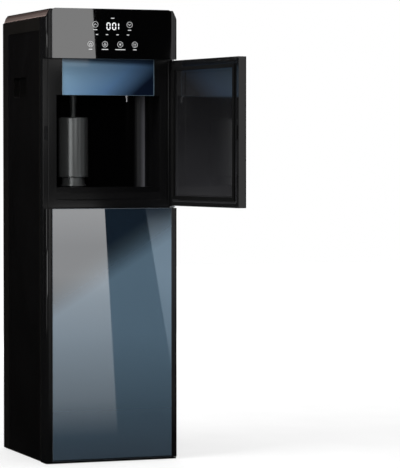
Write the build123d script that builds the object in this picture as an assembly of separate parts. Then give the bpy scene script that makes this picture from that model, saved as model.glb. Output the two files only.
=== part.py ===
from build123d import *
import os

# Floor-standing water dispenser with a dispensing niche above a bottle bay.
# Millimetres. Origin on the floor at the middle of the cabinet, X right, Y back, Z up.

# Cabinet
WIDTH = 310.0
DEPTH = 345.0
SIDE_WALL = 4.0
BACK_WALL = 2.5
SIDE_FOOT = 2.0
SHOULDER_CHAMFER = 3.0
CORNER_RADIUS = 5.0

# Fronts: two doors and the control head
GLASS_THICK = 4.0
GLASS_BORDER = 14.0
STRIP_SETBACK = 1.0
STRIP_GROOVE_WIDE = 1.0
STRIP_GROOVE_DEEP = 0.8
STRIP_GROOVES_FROM_SIDE = (5.2, 8.7)
DOOR_THICK = 22.0
DOOR_GAP = 4.0
DOOR_WALL = 3.0
DOOR_FOOT = 5.0
SPLIT_Z = 573.25
SPLIT_GAP = 4.5
HEAD_HIGH = 110.0
GLASS_PROUD = 1.5
HEAD_GAP = 2.0
FRAME_THICK = 22.5

# Hinges
HINGE_FROM_SIDE = 4.0
HINGE_FROM_BACK = 4.0
HINGE_PIN = 4.0
HINGE_PIN_LENGTH = 8.0
PIN_CLEARANCE = 0.05
PIN_END_GAP = 2.0
BRACKET_THICK = 2.5
BRACKET_WIDE = 12.0
BRACKET_OVERHANG = 4.0
UPPER_DOOR_OPEN = 98.5

# Door lining, seal and catch
LINER_THICK = 2.0
LINER_INSET = 9.0
LINER_CORNER = 6.0
RIB_HIGH = 1.5
RIB_FROM_HINGE = 35.0
RIB_WIDE = 35.0
FIELD_EDGE = 3.0
SEAL_INSET = 15.0
SEAL_WIDE = 8.0
SEAL_HIGH = 3.4
MAGNET_WIDE = 7.0
MAGNET_LONG = 30.0
MAGNET_HIGH = 2.4
STRIKE_THICK = 1.0

# Base
BASE_HIGH = 14.0
BASE_SKIN = 3.0
BASE_RIM = 12.0
APRON_FOOT = 0.5
APRON_THICK = 3.0
APRON_SETBACK = 4.5
PAD_RADIUS = 14.0
PAD_INSET = 32.0

# Side panels
FIELD_DEEP = 1.5
FIELD_FROM_TOP = 30.0
FIELD_FROM_FRONT = 5.0
FIELD_FROM_BACK = 42.5
GRIP_FROM_TOP = 177.0
GRIP_HIGH = 45.0
GRIP_LONG = 100.0
GRIP_FROM_BACK = 86.0
GRIP_DEEP = 14.0
GRIP_WALL = 2.0
GRIP_RADIUS = 8.0

# Bottle bay
BAY_SIDE = 18.0
BAY_LOW = 16.0
SHELF_DROP = 25.25
SHELF_THICK = 4.0

# Dispensing niche
NICHE_HALF = 123.0
NICHE_HIGH = 219.0
NICHE_DEEP = 120.5
CROSSBAR_HIGH = 32.75
NICHE_RADIUS = 24.0
NICHE_WALL = 3.0
SILL_HIGH = 12.5
SILL_THICK = 8.5
GROOVE_RISE = 16.75
GROOVE_WIDE = 2.0
GROOVE_DEEP = 1.0
BORDER_GROOVE_FROM_SIDE = 13.0
HOOD_HALF = 109.5
HOOD_HIGH = 81.5
HOOD_THICK = 3.0
HOOD_SETBACK = 1.5

# Outlets and filter canister
OUTLET_FROM_SIDE = 58.4
OUTLET_FROM_BACK = 59.0
CANISTER_RADIUS = 34.0
CANISTER_EDGE = 2.5
CANISTER_WALL = 2.0
NECK_RADIUS = 26.0
NECK_HIGH = 19.0
NECK_FLANGE = 3.0
NECK_GROOVE = 1.5
SOCKET_WALL = 4.0
SOCKET_HIGH = 2.5
SOCKET_DEEP = 4.0
PIPE_RADIUS = 7.3
PIPE_BORE = 5.5
PIPE_SHOWN = 49.0
COLLAR_RADIUS = 8.6
COLLAR_HIGH = 17.0
SPOUT_RADIUS = 4.0
SPOUT_BORE = 2.6
SPOUT_DROP = 13.0
SPOUT_FLANGE = 7.0
SPOUT_FLANGE_THICK = 2.0

# Drip tray
TRAY_SIDE = 18.0
TRAY_GAP = 0.5
TRAY_SEAT = 0.2
TRAY_WALL = 2.0
GRILLE_THICK = 2.5
GRILLE_LEDGE = 1.5
SLOT_WIDE = 3.0
SLOT_PITCH = 8.0
SLOT_MARGIN = 10.0

# Control head
HEAD_FRONT_WALL = 5.0
HEAD_SKIN = 3.0
HEAD_FLOOR = 3.5
SHOULDER_DROP = 21.5
CROWN_INSET = 10.0
GLASS_CORNER = 8.0
BOARD_HALF = 62.0
BOARD_RISE = 17.5
BOARD_HIGH = 78.0
BOARD_THICK = 1.6
BOARD_STANDOFF = 3.5
STANDOFF_RADIUS = 3.0
DIGITS_HALF = 19.0
DIGITS_RISE = 42.0
DIGITS_HIGH = 26.0

# Top trim and panel
TRIM_HIGH = 16.5
TRIM_BREAK_RISE = 9.0
TRIM_BREAK_INSET = 2.2
TRIM_CREST_INSET = 6.5
TRIM_WIDE = 11.0
TRIM_BACK_SETBACK = 1.0
TOP_SKIN = 3.0

# Valves
VALVE_WIDE = 30.0
VALVE_HIGH = 36.0
VALVE_SOCKET = 8.0
COIL_RADIUS = 11.0
COIL_HIGH = 24.0
STUB_LONG = 8.0

# Tanks
HOT_SIDE_GAP = 6.8
HOT_FORWARD = 5.5
HOT_RADIUS = 60.0
HOT_HIGH = 216.0
HOT_WALL = 1.5
JACKET_WALL = 4.0
JACKET_GAP = 0.2
COLD_SIDE_GAP = 15.0
COLD_FRONT_GAP = 7.0
TANK_LANE = 39.8
COLD_HIGH = 182.0
COLD_WALL = 2.0
FOAM_WALL = 6.0

# Cooler
PELTIER_RISE = 92.0
PELTIER_WIDE = 40.0
SPREADER_THICK = 14.0
PELTIER_THICK = 4.0
SINK_WIDE = 92.0
SINK_BASE = 6.0
FIN_LONG = 22.0
FIN_THICK = 2.0
FIN_COUNT = 13
FAN_DEEP = 25.0
FAN_BACK_GAP = 9.0
FAN_BORE = 43.5
FAN_SPIDER = 3.0
FAN_HUB = 17.0
FAN_BLADE_TIP = 41.5
FAN_BLADE_COUNT = 7
FAN_BLADE_THICK = 1.8
FAN_BLADE_TWIST = 38.0
FAN_SHAFT = 4.0
FAN_RUNNING_GAP = 0.5
FAN_ROTOR_LONG = 18.0

# Pump and tubes
PUMP_OFF_CENTRE = 0.1
PUMP_FROM_BACK = 58.0
PUMP_RISE = 48.0
PUMP_HEAD_WIDE = 32.0
PUMP_HEAD_LONG = 24.0
PUMP_MOTOR_RADIUS = 13.0
PUMP_MOTOR_LONG = 30.0
PUMP_FOOT_WIDE = 22.0
TUBE_RADIUS = 4.0
TUBE_BORE = 2.5
STUB_RADIUS = 4.5
TUBE_BEND = 18.0
NIPPLE_FROM_PUMP = 42.0
NIPPLE_RADIUS = 5.0
NIPPLE_DROP = 24.0
NIPPLE_RISE = 10.0
NIPPLE_FLANGE = 11.0
NIPPLE_FLANGE_THICK = 4.0
PUMP_PORT_SPREAD = 14.0
HOT_FEED_RISE = 32.0
COLD_FEED_RISE = 44.0

# Electrics
MAIN_BOARD_LEFT = -110.0
MAIN_BOARD_RIGHT = 20.0
MAIN_BOARD_FROM_TOP = 40.0
MAIN_BOARD_HEIGHT = 90.0
MAIN_BOARD_OFF = 12.0
TRANSFORMER_WIDE = 46.0
TRANSFORMER_HIGH = 40.0
TRANSFORMER_LONG = 34.0
GLAND_FROM_SIDE = 31.0
GLAND_Z = 60.0
GLAND_RADIUS = 8.0
GLAND_BORE = 3.6
GLAND_COLLAR = 11.0
GLAND_OUT = 12.0
GLAND_COLLAR_THICK = 3.0
GLAND_IN = 8.0
SWITCH_FROM_TOP = 95.0
SWITCH_XS = (66.0, 96.0)
SWITCH_WIDE = 13.0
SWITCH_TALL = 26.0
SWITCH_DEEP = 16.0
SWITCH_FLANGE = 2.0
SWITCH_FLANGE_THICK = 1.5
SWITCH_WALL = 1.2
ROCKER_GAP = 0.4
ROCKER_THICK = 6.0
ROCKER_PIVOT = 3.0
ROCKER_TILT = 8.0

# Drains
DRAIN_RADIUS = 6.0
DRAIN_BORE = 4.0
DRAIN_OUT = 8.0
DRAIN_RISE = 14.0
PLUG_GAP = 0.05
PLUG_STEM = 12.0
PLUG_HEAD_RADIUS = 8.5
PLUG_HEAD_THICK = 4.0
PLUG_TAB = 8.0

# Back vents and screws
VENT_COUNT = 9
VENT_PITCH = 9.0
VENT_HIGH = 4.0
VENT_WIDE = 78.0
HOT_VENT_DROP = 12.0
SCREW_RADIUS = 3.5
SCREW_HEAD = 2.0
SCREW_SHANK = 1.6
SCREW_LONG = 9.0
SCREW_PITCH_COUNT = 5
SCREW_FROM_EDGE = 8.0
SCREW_CLEARANCE = 0.05
RAIL_THICK = 12.0

# Planes and places worked out from the sizes above
HALF = WIDTH / 2
FRONT = -DEPTH / 2
BACK = DEPTH / 2
SIDE_IN = HALF - SIDE_WALL
BACK_IN = BACK - BACK_WALL
GLASS_HALF = HALF - GLASS_BORDER
GLASS_BACK = FRONT + GLASS_THICK
STRIP_FRONT = FRONT + STRIP_SETBACK
DOOR_BACK = FRONT + DOOR_THICK
FRAME_FACE = DOOR_BACK + DOOR_GAP
FRAME_BACK = FRAME_FACE + FRAME_THICK
NICHE_LOW = SPLIT_Z + CROSSBAR_HIGH
NICHE_TOP = NICHE_LOW + NICHE_HIGH
NICHE_BACK_Y = FRAME_FACE + NICHE_DEEP
HEAD_Z = NICHE_TOP + HOOD_HIGH
CROWN_Z = HEAD_Z + HEAD_HIGH
GLASS_TOP = CROWN_Z + GLASS_PROUD
SHOULDER_Z = CROWN_Z - TRIM_HIGH
SHOULDER_LOW = CROWN_Z - SHOULDER_DROP
CROWN_HALF = HALF - CROWN_INSET
TRIM_HALF = HALF - SHOULDER_CHAMFER
TRIM_BREAK_HALF = TRIM_HALF - TRIM_BREAK_INSET
TRIM_CREST_HALF = TRIM_HALF - TRIM_CREST_INSET
TRIM_INNER_HALF = TRIM_HALF - TRIM_WIDE
TRIM_BREAK_Z = SHOULDER_Z + TRIM_BREAK_RISE
FIELD_TOP = SHOULDER_Z - FIELD_FROM_TOP
GRIP_LOW = SHOULDER_Z - GRIP_FROM_TOP
GRIP_BACK_Y = BACK - GRIP_FROM_BACK
SHELF_Z = SPLIT_Z - SHELF_DROP
GROOVE_Z = SPLIT_Z + GROOVE_RISE
LOWER_DOOR_TOP = SPLIT_Z - SPLIT_GAP / 2
UPPER_DOOR_LOW = SPLIT_Z + SPLIT_GAP / 2
UPPER_DOOR_TOP = HEAD_Z - HEAD_GAP
HINGE_X = HALF - HINGE_FROM_SIDE
HINGE_Y = DOOR_BACK - HINGE_FROM_BACK
APRON_TOP = APRON_FOOT + APRON_THICK
SHELF_TOP = SHELF_Z + SHELF_THICK
HEAD_INSIDE_Y = GLASS_BACK + HEAD_FRONT_WALL
TRIM_FRONT_Y = HEAD_INSIDE_Y
DECK_TOP = NICHE_LOW + SILL_HIGH
SOCKET_TOP = DECK_TOP + SOCKET_HIGH
CANISTER_LOW = SOCKET_TOP + NECK_HIGH
CANISTER_TOP = NICHE_TOP - PIPE_SHOWN
OUTLET_X = NICHE_HALF - OUTLET_FROM_SIDE
OUTLET_Y = NICHE_BACK_Y - OUTLET_FROM_BACK
BOARD_LOW = HEAD_Z + BOARD_RISE
BOARD_TOP = BOARD_LOW + BOARD_HIGH
DIGITS_LOW = BOARD_LOW + DIGITS_RISE
DIGITS_TOP = DIGITS_LOW + DIGITS_HIGH
CEILING_TOP = NICHE_TOP + NICHE_WALL
SILL_BACK = FRAME_FACE + SILL_THICK
DECK_BACK = NICHE_BACK_Y - NICHE_RADIUS
TRAY_LEFT = -TRAY_SIDE
HOT_OUTSIDE = HOT_RADIUS + JACKET_GAP + JACKET_WALL
HOT_X = -(SIDE_IN - HOT_SIDE_GAP - HOT_OUTSIDE)
HOT_Y = (NICHE_BACK_Y + NICHE_WALL + BACK_IN) / 2 - HOT_FORWARD
HOT_FLOOR = SHELF_TOP + JACKET_WALL
HOT_TOP = HOT_FLOOR + HOT_HIGH
HOT_VENT_Z = HOT_TOP - HOT_VENT_DROP
COLD_RIGHT = SIDE_IN - COLD_SIDE_GAP - FOAM_WALL
COLD_LEFT = HOT_X + HOT_OUTSIDE + TANK_LANE + FOAM_WALL
COLD_X = (COLD_LEFT + COLD_RIGHT) / 2
COLD_FRONT = NICHE_BACK_Y + NICHE_WALL + COLD_FRONT_GAP + FOAM_WALL
COLD_FLOOR = SHELF_TOP + FOAM_WALL
PELTIER_Z = COLD_FLOOR + PELTIER_RISE
COLD_TOP = COLD_FLOOR + COLD_HIGH
FAN_Y = BACK_IN - FAN_BACK_GAP - FAN_DEEP
SINK_Y = FAN_Y - FIN_LONG - SINK_BASE
COLD_BACK = SINK_Y - PELTIER_THICK - SPREADER_THICK
COLD_Y = (COLD_FRONT + COLD_BACK) / 2
VALVE_PORT_Z = CEILING_TOP + VALVE_HIGH / 2
VALVE_BACK = OUTLET_Y + VALVE_WIDE / 2
FEED_TOP = CEILING_TOP + VALVE_SOCKET
PUMP_X = HOT_X + HOT_OUTSIDE + TANK_LANE / 2 - PUMP_OFF_CENTRE
PUMP_Y = BACK_IN - PUMP_FROM_BACK
PUMP_Z = SHELF_TOP + PUMP_RISE
NIPPLE_Y = PUMP_Y - NIPPLE_FROM_PUMP
MAIN_BOARD_TOP = SHOULDER_Z - MAIN_BOARD_FROM_TOP
MAIN_BOARD_LOW = MAIN_BOARD_TOP - MAIN_BOARD_HEIGHT
SWITCH_Z = SHOULDER_Z - SWITCH_FROM_TOP
GLAND_X = SIDE_IN - GLAND_FROM_SIDE


# Shape helpers
def block(x0, x1, y0, y1, z0, z1):
    """A box between two corners."""
    return Pos((x0 + x1) / 2, (y0 + y1) / 2, (z0 + z1) / 2) * Box(x1 - x0, y1 - y0, z1 - z0)


def rod_z(x, y, z0, z1, radius):
    """An upright round bar."""
    return Pos(x, y, (z0 + z1) / 2) * Cylinder(radius, z1 - z0)


def rod_y(x, z, y0, y1, radius):
    """A round bar that runs front to back."""
    return Pos(x, (y0 + y1) / 2, z) * Rot(90, 0, 0) * Cylinder(radius, y1 - y0)


def rod_x(y, z, x0, x1, radius):
    """A round bar that runs left to right."""
    return Pos((x0 + x1) / 2, y, z) * Rot(0, 90, 0) * Cylinder(radius, x1 - x0)


def prism_y(points, y0, y1):
    """An outline of (x, z) points, drawn front to back."""
    outline = make_face(Polyline(*points, close=True))
    return Pos(0, y1, 0) * extrude(Plane.XZ * outline, y1 - y0)


def prism_x(points, x0, x1):
    """An outline of (y, z) points, drawn left to right."""
    outline = make_face(Polyline(*points, close=True))
    return Pos(x0, 0, 0) * extrude(Plane.YZ * outline, x1 - x0)


def upright_rounded(body, radius):
    """The same body with all its upright edges rounded."""
    return fillet(body.edges().filter_by(Axis.Z), radius)


def front_rounded(x_half, y0, y1, z0, z1, radius):
    """A block whose two upright front edges are rounded."""
    body = block(-x_half, x_half, y0, y1, z0, z1)
    return fillet(body.edges().filter_by(Axis.Z).group_by(Axis.Y)[0], radius)


def strip_grooves(z0, z1):
    """The fine upright grooves in the border strips beside the glass."""
    cuts = []
    for from_side in STRIP_GROOVES_FROM_SIDE:
        for side in (-1, 1):
            middle = side * (HALF - from_side)
            left = middle - STRIP_GROOVE_WIDE / 2
            right = middle + STRIP_GROOVE_WIDE / 2
            cuts.append(block(left, right, STRIP_FRONT, STRIP_FRONT + STRIP_GROOVE_DEEP, z0, z1))
    return cuts


def tube_along(points, bend):
    """A water tube along a route of straight runs and tangent arcs."""
    route = FilletPolyline(*points, radius=bend)
    start = Plane(origin=route @ 0, z_dir=route % 0)
    ring = Circle(TUBE_RADIUS) - Circle(TUBE_BORE)
    return sweep(start * ring, path=route)


# Base
def base_pan():
    pan = block(-SIDE_IN, SIDE_IN, FRAME_BACK, BACK_IN, 0, BASE_HIGH)
    pan -= block(-SIDE_IN + BASE_RIM, SIDE_IN - BASE_RIM, FRAME_BACK + BASE_RIM, BACK_IN - BASE_RIM,
                 0, BASE_HIGH - BASE_SKIN)
    pan += front_rounded(HALF, FRONT + APRON_SETBACK, FRAME_BACK, APRON_FOOT, APRON_TOP, CORNER_RADIUS)
    pan -= rod_z(HINGE_X, HINGE_Y, APRON_FOOT, APRON_TOP, HINGE_PIN / 2 + PIN_CLEARANCE)
    return pan


def anti_slip_pads():
    pads = []
    for side in (-1, 1):
        for y in (FRAME_BACK + PAD_INSET, BACK_IN - PAD_INSET):
            x = side * (SIDE_IN - PAD_INSET)
            pads.append(rod_z(x, y, 0, BASE_HIGH - BASE_SKIN, PAD_RADIUS))
    return Compound(pads)


# Side, back and top
def side_panel(side):
    """A side wall with a shallow field and a hand grip. It is drawn on the right and mirrored."""
    outline = [(SIDE_IN, SIDE_FOOT), (HALF, SIDE_FOOT), (HALF, SHOULDER_Z - SHOULDER_CHAMFER),
               (HALF - SHOULDER_CHAMFER, SHOULDER_Z), (SIDE_IN, SHOULDER_Z)]
    panel = prism_y(outline, FRAME_BACK, BACK)
    panel -= block(HALF - FIELD_DEEP, HALF, FRAME_BACK + FIELD_FROM_FRONT, BACK - FIELD_FROM_BACK,
                   SIDE_FOOT, FIELD_TOP)
    front_y = GRIP_BACK_Y - GRIP_LONG
    top_z = GRIP_LOW + GRIP_HIGH
    floor_x = HALF - GRIP_DEEP
    panel += block(floor_x - GRIP_WALL, SIDE_IN, front_y - GRIP_WALL, GRIP_BACK_Y + GRIP_WALL,
                   GRIP_LOW - GRIP_WALL, top_z + GRIP_WALL)
    hollow = block(floor_x, HALF, front_y, GRIP_BACK_Y, GRIP_LOW, top_z)
    panel -= fillet(hollow.edges().filter_by(Axis.X), GRIP_RADIUS)
    if side < 0:
        panel = mirror(panel, about=Plane.YZ)
    return panel


def screw_places():
    """Where the back panel is screwed to its rails, as (x, z)."""
    step = (SHOULDER_Z - BASE_HIGH - 2 * SCREW_FROM_EDGE) / (SCREW_PITCH_COUNT - 1)
    places = []
    for side in (-1, 1):
        for number in range(SCREW_PITCH_COUNT):
            places.append((side * (SIDE_IN - SCREW_FROM_EDGE), BASE_HIGH + SCREW_FROM_EDGE + number * step))
    return places


def drain_places():
    """Where the two drains come out, as (x, z, front end y)."""
    hot = (HOT_X, HOT_FLOOR + DRAIN_RISE, HOT_Y + HOT_RADIUS)
    cold = (COLD_X, COLD_FLOOR + DRAIN_RISE, COLD_BACK)
    return [hot, cold]


def back_panel():
    panel = block(-SIDE_IN, SIDE_IN, BACK_IN, BACK, BASE_HIGH, SHOULDER_Z)
    vents = []
    for middle_x, middle_z in ((COLD_X, PELTIER_Z), (HOT_X, HOT_VENT_Z)):
        for number in range(VENT_COUNT):
            z = middle_z + (number - (VENT_COUNT - 1) / 2) * VENT_PITCH
            slot = block(middle_x - VENT_WIDE / 2, middle_x + VENT_WIDE / 2, BACK_IN, BACK,
                         z - VENT_HIGH / 2, z + VENT_HIGH / 2)
            vents.append(slot)
    panel -= vents
    holes = [rod_y(GLAND_X, GLAND_Z, BACK_IN, BACK, GLAND_RADIUS + PIN_CLEARANCE)]
    for x in SWITCH_XS:
        holes.append(block(x - SWITCH_WIDE / 2, x + SWITCH_WIDE / 2, BACK_IN, BACK,
                           SWITCH_Z - SWITCH_TALL / 2, SWITCH_Z + SWITCH_TALL / 2))
    for x, z, _ in drain_places():
        holes.append(rod_y(x, z, BACK_IN, BACK, DRAIN_RADIUS + PIN_CLEARANCE))
    for x, z in screw_places():
        holes.append(rod_y(x, z, BACK_IN, BACK, SCREW_SHANK + SCREW_CLEARANCE))
    return panel - holes


def back_rails():
    """Upright rails inside the back corners that take the back panel's screws."""
    rails = []
    for side in (-1, 1):
        middle = side * (SIDE_IN - SCREW_FROM_EDGE)
        left = middle - SCREW_FROM_EDGE
        right = middle + SCREW_FROM_EDGE
        rails.append(block(left, right, BACK_IN - RAIL_THICK, BACK_IN, SHELF_TOP, SHOULDER_Z))
        rails.append(block(left, right, BACK_IN - RAIL_THICK, BACK_IN, BASE_HIGH, SHELF_Z))
    cut = []
    for x, z in screw_places():
        cut.append(rod_y(x, z, BACK + SCREW_HEAD - SCREW_LONG - SCREW_CLEARANCE, BACK_IN,
                         SCREW_SHANK + SCREW_CLEARANCE))
    return Compound([solid for rail in rails for solid in (rail - cut).solids()])


def back_screws():
    screws = []
    for x, z in screw_places():
        screw = rod_y(x, z, BACK, BACK + SCREW_HEAD, SCREW_RADIUS)
        screw += rod_y(x, z, BACK + SCREW_HEAD - SCREW_LONG, BACK, SCREW_SHANK)
        slot = block(x - SCREW_RADIUS, x + SCREW_RADIUS, BACK + SCREW_HEAD / 2, BACK + SCREW_HEAD,
                     z - SCREW_SHANK / 4, z + SCREW_SHANK / 4)
        screws.append((screw - slot).solid())
    return Compound(screws)


def trim_block():
    """The bevelled block that the trim is cut from, sloping on the left, right and back."""
    across = [(-TRIM_HALF, SHOULDER_Z), (-TRIM_BREAK_HALF, TRIM_BREAK_Z), (-TRIM_CREST_HALF, CROWN_Z),
              (TRIM_CREST_HALF, CROWN_Z), (TRIM_BREAK_HALF, TRIM_BREAK_Z), (TRIM_HALF, SHOULDER_Z)]
    back_low = BACK - TRIM_BACK_SETBACK
    back_break = back_low - (TRIM_HALF - TRIM_BREAK_HALF)
    back_crest = back_low - (TRIM_HALF - TRIM_CREST_HALF)
    along = [(TRIM_FRONT_Y, SHOULDER_Z), (back_low, SHOULDER_Z), (back_break, TRIM_BREAK_Z),
             (back_crest, CROWN_Z), (TRIM_FRONT_Y, CROWN_Z)]
    return prism_y(across, TRIM_FRONT_Y, back_low) & prism_x(along, -TRIM_HALF, TRIM_HALF)


TRIM_BACK_IN = BACK - TRIM_BACK_SETBACK - (TRIM_HALF - TRIM_INNER_HALF)


def top_trim():
    return trim_block() - block(-TRIM_INNER_HALF, TRIM_INNER_HALF, TRIM_FRONT_Y, TRIM_BACK_IN,
                                SHOULDER_Z, CROWN_Z)


def top_panel():
    panel = block(-TRIM_INNER_HALF, TRIM_INNER_HALF, FRAME_BACK, TRIM_BACK_IN, SHOULDER_Z, CROWN_Z)
    return panel - block(-TRIM_INNER_HALF + TOP_SKIN, TRIM_INNER_HALF - TOP_SKIN, FRAME_BACK + TOP_SKIN,
                         TRIM_BACK_IN - TOP_SKIN, SHOULDER_Z, CROWN_Z - TOP_SKIN)


# Frames
def bay_frame():
    frame = block(-HALF, HALF, FRAME_FACE, FRAME_BACK, APRON_TOP, SPLIT_Z)
    return frame - block(-HALF + BAY_SIDE, HALF - BAY_SIDE, FRAME_FACE, FRAME_BACK, BAY_LOW, SHELF_Z)


def niche_frame():
    frame = block(-HALF, HALF, FRAME_FACE, FRAME_BACK, SPLIT_Z, HEAD_Z)
    frame -= block(-NICHE_HALF, NICHE_HALF, FRAME_FACE, FRAME_BACK, NICHE_LOW, NICHE_TOP)
    frame -= block(-HOOD_HALF, HOOD_HALF, FRAME_FACE, FRAME_FACE + HOOD_SETBACK + HOOD_THICK,
                   NICHE_TOP, HEAD_Z)
    frame -= block(-NICHE_HALF, NICHE_HALF, FRAME_FACE, FRAME_FACE + GROOVE_DEEP,
                   GROOVE_Z - GROOVE_WIDE / 2, GROOVE_Z + GROOVE_WIDE / 2)
    for side in (-1, 1):
        middle = side * (HALF - BORDER_GROOVE_FROM_SIDE)
        left = middle - GROOVE_WIDE / 2
        right = middle + GROOVE_WIDE / 2
        frame -= block(left, right, FRAME_FACE, FRAME_FACE + GROOVE_DEEP, SPLIT_Z, HEAD_Z)
    return frame


def hood_panel():
    face = FRAME_FACE + HOOD_SETBACK
    return block(-HOOD_HALF, HOOD_HALF, face, face + HOOD_THICK, NICHE_TOP, HEAD_Z)


def mid_shelf():
    shelf = block(-SIDE_IN, SIDE_IN, FRAME_BACK, BACK_IN, SHELF_Z, SHELF_TOP)
    return shelf - rod_z(PUMP_X, NIPPLE_Y, SHELF_Z, SHELF_TOP, NIPPLE_RADIUS + PIN_CLEARANCE)


# Niche
def niche_liner():
    outer = block(-NICHE_HALF - NICHE_WALL, NICHE_HALF + NICHE_WALL, FRAME_BACK, NICHE_BACK_Y + NICHE_WALL,
                  NICHE_LOW - NICHE_WALL, CEILING_TOP)
    outer = fillet(outer.edges().filter_by(Axis.Z).group_by(Axis.Y)[-1], NICHE_RADIUS + NICHE_WALL)
    inner = block(-NICHE_HALF, NICHE_HALF, FRAME_BACK, NICHE_BACK_Y, NICHE_LOW, NICHE_TOP)
    inner = fillet(inner.edges().filter_by(Axis.Z).group_by(Axis.Y)[-1], NICHE_RADIUS)
    liner = outer - inner
    liner -= rod_z(-OUTLET_X, OUTLET_Y, NICHE_TOP, CEILING_TOP, PIPE_RADIUS + PIN_CLEARANCE)
    liner -= rod_z(OUTLET_X, OUTLET_Y, NICHE_TOP, CEILING_TOP, SPOUT_RADIUS + PIN_CLEARANCE)
    return liner


def niche_deck():
    """The front sill, with the raised deck on the left that the canister stands in."""
    deck = block(-NICHE_HALF, NICHE_HALF, FRAME_FACE, SILL_BACK, NICHE_LOW, DECK_TOP)
    deck += block(-NICHE_HALF, TRAY_LEFT - TRAY_GAP, SILL_BACK, DECK_BACK, NICHE_LOW, DECK_TOP)
    deck += rod_z(-OUTLET_X, OUTLET_Y, DECK_TOP, SOCKET_TOP, NECK_RADIUS + SOCKET_WALL)
    deck -= rod_z(-OUTLET_X, OUTLET_Y, SOCKET_TOP - SOCKET_DEEP, SOCKET_TOP, NECK_RADIUS + PIN_CLEARANCE)
    return deck


def drip_tray():
    right = NICHE_HALF - TRAY_GAP
    front = SILL_BACK + TRAY_GAP
    low = NICHE_LOW + TRAY_SEAT
    tray = upright_rounded(block(TRAY_LEFT, right, front, DECK_BACK, low, DECK_TOP), TRAY_WALL)
    tray -= block(TRAY_LEFT + TRAY_WALL, right - TRAY_WALL, front + TRAY_WALL, DECK_BACK - TRAY_WALL,
                  low + TRAY_WALL, DECK_TOP)
    ledge = block(TRAY_LEFT + TRAY_WALL, right - TRAY_WALL, front + TRAY_WALL, DECK_BACK - TRAY_WALL,
                  low + TRAY_WALL, DECK_TOP - GRILLE_THICK)
    inset = TRAY_WALL + GRILLE_LEDGE
    ledge -= block(TRAY_LEFT + inset, right - inset, front + inset, DECK_BACK - inset,
                   low + TRAY_WALL, DECK_TOP - GRILLE_THICK)
    return tray + ledge


def drip_grille():
    left = TRAY_LEFT + TRAY_WALL
    right = NICHE_HALF - TRAY_GAP - TRAY_WALL
    front = SILL_BACK + TRAY_GAP + TRAY_WALL
    back = DECK_BACK - TRAY_WALL
    grille = block(left, right, front, back, DECK_TOP - GRILLE_THICK, DECK_TOP)
    count = int((right - left - 2 * SLOT_MARGIN) // SLOT_PITCH)
    slots = []
    for number in range(count + 1):
        x = (left + right) / 2 + (number - count / 2) * SLOT_PITCH
        slots.append(block(x - SLOT_WIDE / 2, x + SLOT_WIDE / 2, front + SLOT_MARGIN, back - SLOT_MARGIN,
                           DECK_TOP - GRILLE_THICK, DECK_TOP))
    return grille - slots


def canister_base():
    low = SOCKET_TOP - SOCKET_DEEP
    base = rod_z(-OUTLET_X, OUTLET_Y, low, CANISTER_LOW, NECK_RADIUS)
    flange_low = SOCKET_TOP
    base += rod_z(-OUTLET_X, OUTLET_Y, flange_low, flange_low + NECK_FLANGE, NECK_RADIUS + NECK_FLANGE)
    ring = rod_z(-OUTLET_X, OUTLET_Y, CANISTER_LOW - 2 * NECK_GROOVE, CANISTER_LOW - NECK_GROOVE, NECK_RADIUS)
    ring -= rod_z(-OUTLET_X, OUTLET_Y, CANISTER_LOW - 2 * NECK_GROOVE, CANISTER_LOW - NECK_GROOVE,
                  NECK_RADIUS - NECK_GROOVE)
    return base - ring


def canister_body():
    body = rod_z(-OUTLET_X, OUTLET_Y, CANISTER_LOW, CANISTER_TOP, CANISTER_RADIUS)
    body = fillet(body.edges().filter_by(GeomType.CIRCLE), CANISTER_EDGE)
    body -= rod_z(-OUTLET_X, OUTLET_Y, CANISTER_LOW + CANISTER_WALL, CANISTER_TOP - CANISTER_WALL,
                  CANISTER_RADIUS - CANISTER_WALL)
    return body - rod_z(-OUTLET_X, OUTLET_Y, CANISTER_TOP - CANISTER_WALL, CANISTER_TOP, PIPE_BORE)


def feed_pipe():
    """The upright pipe from the valve into the canister, with its collar under the niche ceiling."""
    pipe = rod_z(-OUTLET_X, OUTLET_Y, CANISTER_TOP, FEED_TOP, PIPE_RADIUS)
    pipe += rod_z(-OUTLET_X, OUTLET_Y, NICHE_TOP - COLLAR_HIGH, NICHE_TOP, COLLAR_RADIUS)
    return pipe - rod_z(-OUTLET_X, OUTLET_Y, CANISTER_TOP, FEED_TOP, PIPE_BORE)


def spout():
    tip = NICHE_TOP - SPOUT_DROP
    body = rod_z(OUTLET_X, OUTLET_Y, tip, FEED_TOP, SPOUT_RADIUS)
    body += rod_z(OUTLET_X, OUTLET_Y, NICHE_TOP - SPOUT_FLANGE_THICK, NICHE_TOP, SPOUT_FLANGE)
    return body - rod_z(OUTLET_X, OUTLET_Y, tip, FEED_TOP, SPOUT_BORE)


def valve(x, pipe_radius):
    """A solenoid valve that stands on the niche ceiling: block, coil and inlet stub."""
    top = CEILING_TOP + VALVE_HIGH
    half = VALVE_WIDE / 2
    body = block(x - half, x + half, OUTLET_Y - half, OUTLET_Y + half, CEILING_TOP, top)
    body += rod_z(x, OUTLET_Y, top, top + COIL_HIGH, COIL_RADIUS)
    body += rod_y(x, VALVE_PORT_Z, VALVE_BACK, VALVE_BACK + STUB_LONG, STUB_RADIUS)
    body -= rod_z(x, OUTLET_Y, CEILING_TOP, FEED_TOP, pipe_radius + PIN_CLEARANCE)
    return body - rod_y(x, VALVE_PORT_Z, VALVE_BACK, VALVE_BACK + STUB_LONG, TUBE_BORE)


# Control head
def shoulder_outline():
    return [(-HALF, HEAD_Z), (HALF, HEAD_Z), (HALF, SHOULDER_LOW), (CROWN_HALF, CROWN_Z),
            (-CROWN_HALF, CROWN_Z), (-HALF, SHOULDER_LOW)]


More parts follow.
